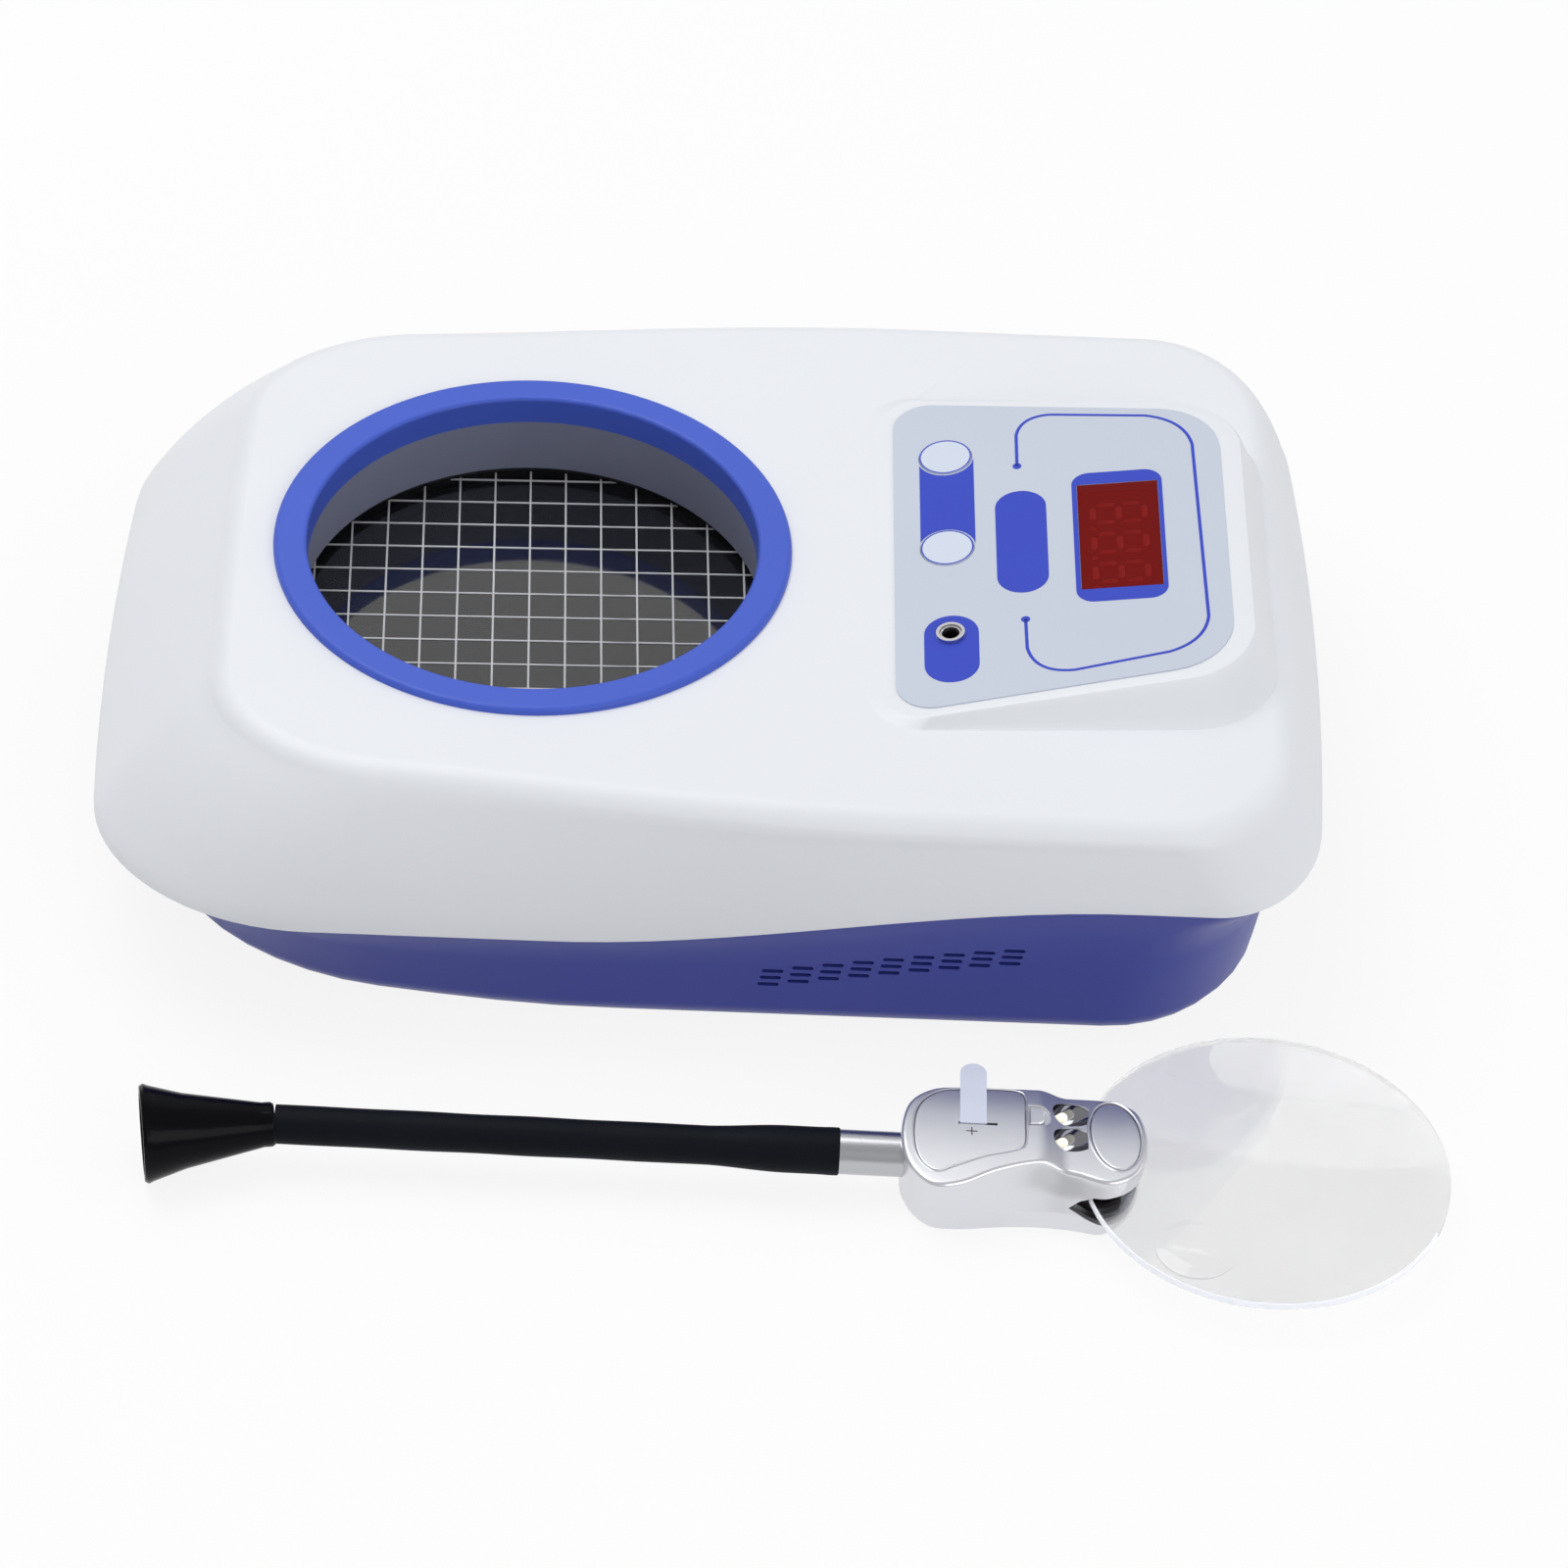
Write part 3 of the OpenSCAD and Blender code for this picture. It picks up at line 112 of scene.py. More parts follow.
def finish_material(name, rgb, rough, metal=0.0, grain=(900, 0.1), mottle=(25, 0.03), rough_spread=0.06,
                    stretch=(1, 1, 1), sockets=None):
    """A procedural finish: cloudy colour, uneven gloss and a fine grain as a bump.
    grain is (features per metre, strength); mottle is (features per metre, share of the colour)."""
    m = bpy.data.materials.new(name)
    m.use_nodes = True
    t = m.node_tree
    b = t.nodes["Principled BSDF"]
    b.inputs["Metallic"].default_value = metal
    for k, v in (sockets or {}).items():
        b.inputs[k].default_value = v
    at = node_of(t, "ShaderNodeTexCoord")
    mapping = node_of(t, "ShaderNodeMapping", Scale=stretch)
    t.links.new(at.outputs["Object"], mapping.inputs["Vector"])
    cloud = node_of(t, "ShaderNodeTexNoise", Scale=mottle[0], Detail=4.0, Roughness=0.6)
    ramp = node_of(t, "ShaderNodeValToRGB")
    ramp.color_ramp.elements[0].position = 0.3
    ramp.color_ramp.elements[0].color = shade(rgb, 1 - mottle[1])
    ramp.color_ramp.elements[1].position = 0.7
    ramp.color_ramp.elements[1].color = shade(rgb, 1 + mottle[1])
    t.links.new(mapping.outputs["Vector"], cloud.inputs["Vector"])
    t.links.new(cloud.outputs["Fac"], ramp.inputs["Fac"])
    t.links.new(ramp.outputs["Color"], b.inputs["Base Color"])
    wear = node_of(t, "ShaderNodeTexNoise", Scale=mottle[0] * 4.3, Detail=5.0)
    spread = node_of(t, "ShaderNodeMapRange")
    spread.inputs["To Min"].default_value = max(0.0, rough - rough_spread)
    spread.inputs["To Max"].default_value = min(1.0, rough + rough_spread)
    t.links.new(mapping.outputs["Vector"], wear.inputs["Vector"])
    t.links.new(wear.outputs["Fac"], spread.inputs["Value"])
    t.links.new(spread.outputs["Result"], b.inputs["Roughness"])
    if grain[1]:
        fine = node_of(t, "ShaderNodeTexNoise", Scale=grain[0], Detail=3.0)
        bump = node_of(t, "ShaderNodeBump", Strength=grain[1], Distance=0.0002)
        t.links.new(mapping.outputs["Vector"], fine.inputs["Vector"])
        t.links.new(fine.outputs["Fac"], bump.inputs["Height"])
        t.links.new(bump.outputs["Normal"], b.inputs["Normal"])
    return m


F = finish_material
MATERIALS = {
    "housing_white": F("white_housing", (0.77, 0.79, 0.83), 0.42, grain=(1500, 0.06), mottle=(9, 0.012)),
    "housing_blue": F("blue_housing", (0.036, 0.050, 0.30), 0.40, grain=(1500, 0.08), mottle=(12, 0.03),
                      sockets={"Specular IOR Level": 0.3}),
    "ring_blue": F("blue_ring", (0.058, 0.112, 0.565), 0.40, grain=(1500, 0.05), mottle=(14, 0.03),
                   sockets={"Specular IOR Level": 0.28}),
    "diffuser": F("frosted_sleeve", (0.225, 0.24, 0.335), 0.55, grain=(2500, 0.1), mottle=(30, 0.03)),
    "lamps": F("lamp_ring", (0.9, 0.88, 0.82), 0.4),
    "stage_glass": F("clear_stage", (0.02, 0.022, 0.025), 0.03, grain=(300, 0), rough_spread=0.01,
                     sockets={"Alpha": 0.08, "IOR": 1.5}),
    "grid_print": F("white_ink", (0.74, 0.75, 0.77), 0.6, grain=(3000, 0.05)),
    "black_plate": F("black_gloss", (0.006, 0.006, 0.007), 0.06, grain=(60, 0.01), rough_spread=0.02,
                     sockets={"IOR": 1.85, "Coat Weight": 0.4}),
    "black_plastic": F("black_moulding", (0.018, 0.018, 0.02), 0.42, grain=(1800, 0.15)),
    "screw_steel": F("screw_steel", (0.55, 0.55, 0.57), 0.3, metal=1, grain=(2500, 0.1)),
    "overlay": F("overlay_film", (0.54, 0.585, 0.685), 0.5, grain=(3500, 0.08), mottle=(15, 0.012)),
    "red_window": F("red_filter", (0.205, 0.004, 0.003), 0.2, grain=(200, 0.01),
                    sockets={"Alpha": 0.72, "Specular IOR Level": 0.08}),
    "digit_red": F("dim_segments", (0.85, 0.05, 0.045), 0.5, grain=(1500, 0.03)),
    "display_case": F("display_case", (0.10, 0.012, 0.014), 0.5),
    "circuit_board": F("green_board", (0.02, 0.16, 0.06), 0.45, mottle=(300, 0.25)),
    "key_white": F("key_film", (0.62, 0.68, 0.80), 0.46, grain=(3500, 0.06), mottle=(20, 0.012)),
    "nickel": F("bright_nickel", (0.66, 0.65, 0.66), 0.16, metal=1, grain=(1500, 0.04)),
    "iron_core": F("varnished_core", (0.09, 0.07, 0.05), 0.5, mottle=(200, 0.2)),
    "contact_brass": F("contact_brass", (0.55, 0.40, 0.16), 0.28, metal=1),
    "rubber": F("black_rubber", (0.02, 0.02, 0.022), 0.7, grain=(1500, 0.25)),
    "gloss_black": F("gloss_black", (0.0022, 0.0022, 0.0036), 0.22, grain=(700, 0.02),
                     sockets={"Specular IOR Level": 0.06, "Coat Weight": 0.03, "Coat Roughness": 0.08}),
    "sleeve_black": F("sleeve_rubber", (0.0045, 0.0058, 0.0095), 0.55, grain=(1300, 0.22), mottle=(60, 0.12),
                      sockets={"Specular IOR Level": 0.08}),
    "tube_steel": F("polished_tube", (0.50, 0.505, 0.53), 0.27, metal=1, grain=(2500, 0.05),
                    stretch=(0.1, 1, 1)),
    "silver_plastic": F("silver_paint", (0.735, 0.74, 0.78), 0.29, metal=0.88, grain=(6000, 0.03),
                        mottle=(40, 0.012), rough_spread=0.02,
                        sockets={"Coat Weight": 0.3, "Coat Roughness": 0.12}),
    "tab_film": F("pull_film", (0.74, 0.78, 0.92), 0.35, grain=(1500, 0.03), sockets={"Alpha": 0.85}),
    "cell_steel": F("cell_steel", (0.6, 0.6, 0.6), 0.3, metal=1),
    "led_clear": F("lamp_lens", (0.92, 0.91, 0.76), 0.08, grain=(500, 0),
                   sockets={"Emission Color": (1.0, 0.97, 0.80, 1), "Emission Strength": 0.55}),
    "lens_clear": F("clear_acrylic", (0.88, 0.885, 0.90), 0.01, grain=(50, 0), rough_spread=0.005,
                    sockets={"Transmission Weight": 1.0, "IOR": 1.49, "Alpha": 0.5}),
    "clamp_dark": F("dark_clamp", (0.010, 0.008, 0.010), 0.42, grain=(900, 0.08),
                    sockets={"Specular IOR Level": 0.15}),
}
# A faint glow painted on the lens's near edge: a painted highlight, no lamp.
PAINTED_EDGE_HIGHLIGHT = F("painted_highlight_edge", (0.86, 0.87, 0.93), 0.22, grain=(900, 0.02), mottle=(60, 0.02),
                sockets={"Emission Color": (0.93, 0.94, 1.0, 1), "Emission Strength": 0.28})
# Darker chrome for the reflectors' bowls: painted shade inside the recesses.
REFLECTOR_PAINTED_SHADE = F("reflector_shade_paint", (0.30, 0.30, 0.33), 0.10, metal=1, grain=(3000, 0.02),
                rough_spread=0.03)
PRINT_BLUE = F("blue_ink", (0.032, 0.062, 0.51), 0.45, grain=(3500, 0.05), mottle=(30, 0.02),
               sockets={"Specular IOR Level": 0.25})
INK_DARK = F("dark_ink", (0.03, 0.03, 0.035), 0.5, grain=(3000, 0.03))


# ---- meshes
def mark_sharp(me, limit=32):
    bm = bmesh.new()
    bm.from_mesh(me)
    for f in bm.faces:
        f.smooth = True
    for e in bm.edges:
        if len(e.link_faces) == 2:
            e.smooth = e.calc_face_angle(0) < math.radians(limit)
    bm.to_mesh(me)
    bm.free()


def new_object(name, verts, faces, place):
    me = bpy.data.meshes.new(name)
    me.from_pydata([place(v) for v in verts], [], faces)
    bm = bmesh.new()
    bm.from_mesh(me)
    bmesh.ops.recalc_face_normals(bm, faces=bm.faces)
    bm.to_mesh(me)
    bm.free()
    ob = bpy.data.objects.new(name, me)
    bpy.context.scene.collection.objects.link(ob)
    return ob


def ring_mesh(rings, start=None, end=None):
    """Points and faces of a closed surface through a chain of rings."""
    n = len(rings[0])
    points = [tuple(p) for r in rings for p in r]
    faces = [(k * n + i, k * n + (i + 1) % n, (k + 1) * n + (i + 1) % n, (k + 1) * n + i)
             for k in range(len(rings) - 1) for i in range(n)]
    for pole, first in ((start, 0), (end, (len(rings) - 1) * n)):
        if pole is not None:
            points.append(tuple(pole))
            c = len(points) - 1
            faces += [(c, first + (i + 1) % n, first + i) for i in range(n)]
    return points, faces


def boolean(ob, other, operation="DIFFERENCE"):
    m = ob.modifiers.new("cut", "BOOLEAN")
    m.operation, m.object, m.solver = operation, other, "EXACT"
    bpy.context.view_layer.update()
    graph = bpy.context.evaluated_depsgraph_get()
    me = bpy.data.meshes.new_from_object(ob.evaluated_get(graph))
    ob.modifiers.clear()
    ob.data = me
    bpy.data.objects.remove(other, do_unlink=True)


def settle(ob, slot, body, replaced=(), material=None, sharp=32, weighted=True):
    ob.data.materials.clear()
    ob.data.materials.append(material or MATERIALS[slot])
    mark_sharp(ob.data, sharp)
    if weighted:
        m = ob.modifiers.new("normals", "WEIGHTED_NORMAL")
        m.keep_sharp = True
    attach(ob, body)
    if replaced:
        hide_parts(*replaced)
    return ob


def cylinder_mm(name, at, r, z0, z1, place, n=96):
    ring = [[(at[0] + r * math.cos(2 * math.pi * i / n), at[1] + r * math.sin(2 * math.pi * i / n), z)
             for i in range(n)] for z in (z0, z1)]
    return new_object(name, *ring_mesh(ring, (at[0], at[1], z0), (at[0], at[1], z1)), place)


def box_mm(name, lo, hi, place):
    p = [(x, y, z) for z in (lo[2], hi[2]) for x, y in
         ((lo[0], lo[1]), (hi[0], lo[1]), (hi[0], hi[1]), (lo[0], hi[1]))]
    return new_object(name, p, [(3, 2, 1, 0), (4, 5, 6, 7), (0, 1, 5, 4), (1, 2, 6, 5), (2, 3, 7, 6),
                                (3, 0, 4, 7)], place)


# ---- the white cover, from the same outlines as the solid, with finer steps
HALF_W = 110.5
X_NEAR, X_FAR = -117.5, 217.5
WALL = 2.5


def smooth(t):
    c = np.clip(t, 0, 1)
    return c * c * (3 - 2 * c)


def seam_z(x):
    return 38 + 17.5 * smooth((x - 10) / 153)


def plan(xn, xf, w, cn, cf, bow, ease=(1, 1)):
    """The housing's outline from xn to xf, with its sides at w on both sides of the middle."""
    e, c, s = 10, 18, 24
    half = [(xf, (w - cf[1]) * i / e) for i in range(e)]
    half += [(xf - cf[0] * (1 - math.cos(a)), w - cf[1] * (1 - math.sin(a)))
             for a in (math.pi / 2 * i / c for i in range(c))]
    half += [((xf - cf[0]) * (1 - i / s) + (xn + cn[0]) * i / s, w) for i in range(s)]
    half += [(xn + cn[0] * (1 - math.sin(a)), w - cn[1] * (1 - math.cos(a)))
             for a in (math.pi / 2 * i / c for i in range(c))]
    half += [(xn, (w - cn[1]) * (1 - i / e)) for i in range(e)]
    p = np.array(half + [(xn, 0)] + [(x, -y) for x, y in reversed(half[1:])])
    s = (p[:, 0] - (xn + xf) / 2) / ((xf - xn) / 2)
    x = p[:, 0] - np.sign(s) * np.abs(s) ** 4 * bow * (p[:, 1] / w) ** 2
    y = p[:, 1] * (ease[0] + (1 - ease[0]) * smooth((p[:, 0] - xn) / ease[1]))
    return np.stack([x, y], 1)


def inset(p, d):
    """An outline moved inward by d."""
    t = np.roll(p, -1, 0) - np.roll(p, 1, 0)
    t /= np.linalg.norm(t, axis=1)[:, None]
    return p + d * np.stack([-t[:, 1], t[:, 0]], 1)


def raised(p, z):
    return np.column_stack([p, np.broadcast_to(z, len(p))])


def through(rings, steps):
    """Rings between the inner ones of a chain, on a smooth curve; the first and last only steer."""
    h = [np.linalg.norm(b - a, axis=1).mean() for a, b in zip(rings, rings[1:])]
    m = [((rings[k] - rings[k - 1]) / h[k - 1] * h[k] + (rings[k + 1] - rings[k]) / h[k] * h[k - 1])
         / (h[k - 1] + h[k]) for k in range(1, len(rings) - 1)]
    out = []
    for k in range(1, len(rings) - 2):
        for i in range(steps):
            t = i / steps
            out.append((2 * t ** 3 - 3 * t ** 2 + 1) * rings[k] + (t ** 3 - 2 * t ** 2 + t) * h[k] * m[k - 1]
                       + (3 * t ** 2 - 2 * t ** 3) * rings[k + 1] + (t ** 3 - t ** 2) * h[k] * m[k])
    return out + [rings[-2]]


rim = plan(X_NEAR, X_FAR, HALF_W, (62, 48), (30, 34), 6)
crease = plan(X_NEAR + 31.5, X_FAR - 10.5, HALF_W - 3, (48, 44), (34, 36), 3, (0.875, 190))
CREASE_Z = PLATEAU - 4.2
SKIRT = [(0.3, 0.17), (0.6, 0.46), (0.85, 0.77), (1, 1)]
CREASE_EDGE = [(1.6, 1.9), (3.6, 3.3), (6.5, 4.2)]
# Each entry: the wedge's share of the way in, and of the way up
WEDGE_SIDE = [(0.12, 0.07), (0.28, 0.25), (0.48, 0.5), (0.68, 0.75), (0.82, 0.91), (0.92, 0.975)]


def from_seam(p, z, t, lift=0.0):
    s = seam_z(p[:, 0])
    return raised(p, s + (z - s) * t + lift)


def skirt_ring(t, u, d, s):
    return from_seam(inset(rim * (1 - u) + crease * u, d), CREASE_Z - s, t)


def rounded(p, r, n):
    """A closed outline whose corners have the radii r, with n steps in each."""
    out = []
    for i in range(len(p)):
        q = np.array(p[i], float)
        a = np.array(p[i - 1]) - q
        b = np.array(p[(i + 1) % len(p)]) - q
        a, b = a / np.linalg.norm(a), b / np.linalg.norm(b)
        half = math.acos(float(a @ b)) / 2
        c = q + (a + b) / np.linalg.norm(a + b) * r[i] / math.sin(half)
        s, turn = math.atan2(-a[0], a[1]) + math.pi, math.pi - 2 * half
        out += [c + r[i] * np.array([math.cos(s + turn * k / n), math.sin(s + turn * k / n)])
                for k in range(n + 1)]
    return np.array(out)


def wedge_plan(x0, x1, y0, y1, r0, r1):
    return rounded([(x0, -y0), (x1, -y1), (x1, y1), (x0, y0)], [r0, r1, r1, r0], 16)


def slope(q, d):
    """An outline on the panel's slope, d below its face."""
    c, s = math.cos(TILT), math.sin(TILT)
    return np.column_stack([PANEL_AT[0] + q[:, 0] * c + d * s, q[:, 1],
                            PANEL_AT[1] + q[:, 0] * s - d * c])


def loft(name, rings):
    """A closed solid through rings, each end closed to its own middle."""
    return new_object(name, *ring_mesh(rings, rings[0].mean(0), rings[-1].mean(0)), instrument)


def make_wedge(top):
    foot = raised(wedge_plan(91, 202, 72, 65, 14, 26), PLATEAU)
    cap = slope(top, 0)
    rings = [foot - (0, 0, 1.25), foot - (0, 0, 0.04)]
    for h, v in WEDGE_SIDE:
        r = foot * (1 - h) + cap * h
        r[:, 2] = foot[:, 2] * (1 - v) + cap[:, 2] * v
        rings.append(r)
    return loft("wedge", rings + [slope(inset(top, 0.8), 0.05), slope(inset(top, 2.2), 0),
                                  slope(inset(top, 3.4), 0)])


def make_cover():
    lip = [from_seam(inset(rim, 0.5), CREASE_Z, 0), from_seam(rim, CREASE_Z, 0, 0.6)]
    side = [from_seam(rim, CREASE_Z, 0, 2)] + [skirt_ring(t, u, 0, 0) for t, u in SKIRT]
    edge = [raised(inset(crease, d), CREASE_Z + z) for d, z in CREASE_EDGE]
    hold = raised(inset(crease, 8.0), PLATEAU)
    outer = lip + through([lip[1]] + side + edge + [hold], 4) + [hold]
    inner = [raised(inset(crease, d + WALL), CREASE_Z + z - WALL) for d, z in reversed(CREASE_EDGE)]
    inner += [skirt_ring(t, u, WALL, WALL * t) for t, u in reversed(SKIRT)]
    inner += [from_seam(inset(rim, WALL), CREASE_Z, 0)]
    mid = (60.0, 0.0)
    cover = new_object("cover_shell", *ring_mesh(inner + outer, (*mid, PLATEAU - WALL), (*mid, PLATEAU)),
                       instrument)
    top = wedge_plan(1.5, 101, 69, 56, 12, 21)
    boolean(cover, make_wedge(top), "UNION")
    boolean(cover, loft("hollow", [raised(wedge_plan(93.5, 196, 69, 61, 14, 24), PLATEAU - 4),
                                   slope(inset(top, 4), WALL)]))
    boolean(cover, cylinder_mm("well", (0, 0), WELL_R, 60, 120, instrument))
    for at in KEYS:
        boolean(cover, cylinder_mm("key_hole", at, KEY_HOLE_R, -8, 4, panel, 64))
    boolean(cover, cylinder_mm("jack_hole", JACK_AT, JACK_R + 0.1, -8, 4, panel, 32))
    low, high = ([a + k * h for a, h in zip(WINDOW_AT, WINDOW_HALF)] for k in (-1, 1))
    boolean(cover, box_mm("window_hole", (*low, -12), (*high, 8), panel))
    return settle(cover, "housing_white", "instrument", ["top_cover"])


make_cover()


# ---- printing on the overlay: thin ink films
def plate(name, loops, z0, z1, place, body, slot, material=None, replaced=()):
    """A flat piece with the first loop as its outline and the others as holes."""
    flat = [[Vector((p[0], p[1], 0)) for p in l] for l in loops]
    tris = tessellate_polygon(flat)
    pts = [p for l in loops for p in l]
    n = len(pts)
    verts = [(p[0], p[1], z) for z in (z0, z1) for p in pts]
    faces = [(a, b, c) for a, b, c in tris] + [(c + n, b + n, a + n) for a, b, c in tris]
    at = 0
    for l in loops:
        faces += [(at + i, at + (i + 1) % len(l), n + at + (i + 1) % len(l), n + at + i)
                  for i in range(len(l))]
        at += len(l)
    ob = new_object(name, verts, faces, place)
    return settle(ob, slot, body, replaced, material, weighted=False)


def circle(at, r, n=48):
    return [(at[0] + r * math.cos(2 * math.pi * i / n), at[1] + r * math.sin(2 * math.pi * i / n))
            for i in range(n)]


def round_rect(s0, s1, y0, y1, r, n=10):
    return [tuple(p) for p in rounded([(s0, y0), (s1, y0), (s1, y1), (s0, y1)], [r] * 4, n)]


def ribbon(points, w):
    p = np.array(points, float)
    t = np.gradient(p, axis=0)
    t /= np.linalg.norm(t, axis=1)[:, None]
    side = np.stack([-t[:, 1], t[:, 0]], 1) * w / 2
    return [tuple(q) for q in p + side] + [tuple(q) for q in (p - side)[::-1]]


def open_round(points, radii):
    """An open line with its inner corners rounded."""
    n = 12
    p = [np.array(q, float) for q in points]
    out = [p[0]]
    for i in range(1, len(p) - 1):
        a, b = p[i - 1] - p[i], p[i + 1] - p[i]
        a, b = a / np.linalg.norm(a), b / np.linalg.norm(b)
        half = math.acos(float(np.clip(a @ b, -1, 1))) / 2
        reach = radii[i - 1] / math.tan(half)
        for k in range(n + 1):
            u = k / n
            out.append((1 - u) ** 2 * (p[i] + a * reach) + 2 * u * (1 - u) * (p[i] + (a + b) * reach * 0.13)
                       + u * u * (p[i] + b * reach))
    out.append(p[-1])
    dense = []
    for a, b in zip(out, out[1:]):
        m = max(1, int(np.linalg.norm(b - a) / 2))
        dense += [a + (b - a) * i / m for i in range(m)]
    return dense + [out[-1]]


def make_grid(pitch=10.0, line=0.52, at=(-0.8, 1.8), turn=math.radians(1.8), n=7):
    """The grid's lines, finer than the solid's and in step with the photographed rows."""
    low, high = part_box("counting_grid")
    z0, z1, r = low[2] / MM, high[2] / MM, (high[0] - low[0]) / 2 / MM
    c, s = math.cos(turn), math.sin(turn)

    def placed(q):
        return (at[0] + q[0] * c - q[1] * s, at[1] + q[0] * s + q[1] * c)
    e, h = n * pitch, line / 2
    loops = [[placed(q) for q in ((-e - h, -e - h), (e + h, -e - h), (e + h, e + h), (-e - h, e + h))]]
    for i in range(-n, n):
        for j in range(-n, n):
            x0, y0, x1, y1 = i * pitch + h, j * pitch + h, (i + 1) * pitch - h, (j + 1) * pitch - h
            loops.append([placed(q) for q in ((x0, y0), (x1, y0), (x1, y1), (x0, y1))])
    grid = plate("grid_lines", loops, z0, z1, instrument, "instrument", "grid_print",
                 replaced=["counting_grid"])
    boolean(grid, cylinder_mm("disc", (0, 0), r, z0 - 1, z1 + 1, instrument, 192), "INTERSECT")
    mark_sharp(grid.data)


make_grid()
INK = (OVERLAY_T, OVERLAY_T + 0.06)
KEY_INK = (0.7, 0.75)
STRIP_SIDES, STRIP_BITE_R = (12.3, 27.4), 7.9
LOOP = [(39.5, 34.5), (39.6, 57.7), (88.2, 51.5), (89.6, -46.3), (40.6, -55.6), (40.3, -31.2)]
LOOP_RADII, LOOP_W = [8.5, 14.5, 13.5, 10.5], 0.9


def ink(name, loops, body="instrument", z=INK, material=PRINT_BLUE, slot="overlay"):
    return plate(name, loops, z[0], z[1], panel, body, slot, material)


strip_s = np.linspace(*STRIP_SIDES, 25)
bite = np.sqrt(np.maximum(0, STRIP_BITE_R ** 2 - (strip_s - KEYS[0][0]) ** 2))
ink("print_strip", [[(s, KEYS[1][1] + b) for s, b in zip(strip_s, bite)]
                    + [(s, KEYS[0][1] - b) for s, b in zip(strip_s[::-1], bite[::-1])]])
for name, at in zip(("check_key", "reset_key"), KEYS):
    ink("print_" + name, [circle(at, 7.25), circle(at, 6.85)], name, KEY_INK, slot="key_white")
ink("print_probe", [round_rect(12.8, 27.6, -55, -27.7, 7.3), circle(JACK_AT, 3.95)])
ink("print_plate", [round_rect(33, 47.1, -20, 23.5, 7)])
ink("print_frame", [round_rect(54.3, 79.3, -25.8, 29.3, 5),
                    round_rect(*(a + k * (h - 0.05) for a, h in zip(WINDOW_AT, WINDOW_HALF)
                                 for k in (-1, 1)), 0.4, 2)])
ink("print_loop", [ribbon(open_round(LOOP, LOOP_RADII), LOOP_W)])
for k, at in enumerate((LOOP[0], LOOP[-1])):
    ink("print_dot_%d" % k, [circle(at, 1.25, 24)])


def make_jack(mouth=2.35, deep=10.0):
    """The jack's barrel in its nut, with its body below the panel and a black lining."""
    top, r = OVERLAY_T + JACK_PROUD, JACK_R

    def place(q):
        return panel((q[0] + JACK_AT[0], q[1] + JACK_AT[1], q[2]))
    barrel = turned("jack_barrel", [(r, JACK_FOOT), (r, top - 0.2), (r - 0.2, top), (mouth + 0.15, top),
                                    (mouth, top - 0.15), (mouth, top - deep)], place)
    boolean(barrel, box_mm("body", (-6, -5, JACK_FOOT), (6, 5, JACK_FOOT + JACK_BODY), place), "UNION")
    boolean(barrel, turned("bore", [(mouth, top - deep), (mouth, top + 1)], place))
    settle(barrel, "nickel", "instrument", ["probe_jack"])
    lining = turned("jack_lining", [(mouth - 0.02, top - deep + 0.1), (mouth - 0.02, top - 0.35),
                                    (mouth - 0.3, top - 0.6), (JACK_BORE_R, top - 1.3),
                                    (JACK_BORE_R, top - deep + 1)], place)
    settle(lining, "black_plastic", "instrument", material=MATERIALS["clamp_dark"])


# ---- the neck's sleeve, in three lengths, each over one of the ball joints
JOINTS = (24.6875, 58.0625, 91.4375)
SLEEVE = 147.5
SLEEVE_STEP = 1.2


def sleeve_r(x):
    base = 5.17 + 0.07 * math.sin(x * 0.21) * math.exp(-((x - 60) / 50) ** 2)
    return base + 1.05 * float(smooth((x - 112) / 22)) + 0.1 * math.exp(-((x - 146) / 2.2) ** 2)


def neck_ring(x, r, n=40):
    return [(x, r * math.cos(2 * math.pi * i / n), NECK_Z + r * math.sin(2 * math.pi * i / n))
            for i in range(n)]


def sleeve(name, x0, x1, replaced, rounded_end=False):
    steps = max(8, int((x1 - x0) / SLEEVE_STEP))
    rings = [neck_ring(x, sleeve_r(x)) for x in np.linspace(x0, x1, steps)]
    if rounded_end:
        rings.append(neck_ring(x1 + 0.3, sleeve_r(x1) - 0.35))
    ob = new_object(name, *ring_mesh(rings, (x0, 0, NECK_Z), (x1, 0, NECK_Z)), magnifier)
    ob.data.materials.append(MATERIALS["sleeve_black"])
    mark_sharp(ob.data, 40)
    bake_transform(ob)
    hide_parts(*replaced)
    return ob


mids = [(JOINTS[0] + JOINTS[1]) / 2, (JOINTS[1] + JOINTS[2]) / 2]
sleeve("sleeve_1", 0.2, mids[0], ["neck_stub", "neck_link_1"])
sleeve("sleeve_2", mids[0], mids[1], ["neck_link_2"])
sleeve("sleeve_3", mids[1], SLEEVE, ["neck_link_3"], True)


# ---- the lamp head's cover, door and button, from the same outlines as the solids
HEAD_H, LOBE_H, HEAD_L, SPLIT = 20.8, 18.0, 65.0, 7.0
HEAD_TOP = [(0, 1), (2, -9.5), (8, -16.2), (16, -15.6), (26, -10.4), (37, -7.2), (46, -8.6), (55, -10.9),
            (62.5, -6.5), (HEAD_L, 4.5), (62.5, 15.5), (55, 19.5), (46, 20), (37, 20), (26, 19.8),
            (16, 19.6), (8, 18.2), (2, 12.4)]
HEAD_LOW = [(0.4, 1), (2.2, -8), (8, -14.2), (16, -15), (27, -13.6), (37, -13), (46, -13.6), (54, -14.4),
            (60.5, -9), (63.5, 3), (60.5, 14), (54, 18.2), (46, 19), (37, 19), (27, 19), (16, 18.7),
            (8, 17.1), (2.2, 11.6)]
DOOR = [(3.4, 2.6), (4.6, -7), (9, -11.8), (15, -9.4), (22, -6), (29.5, -3.6), (32.4, -1.2), (32.6, 7),
        (32.4, 15.6), (29.6, 18.2), (19, 18), (10.5, 17), (5, 11.6)]
LAMPS = ((43.5, 3.8), (43.5, 13.0))
LAMP_LEAN = math.radians(48)
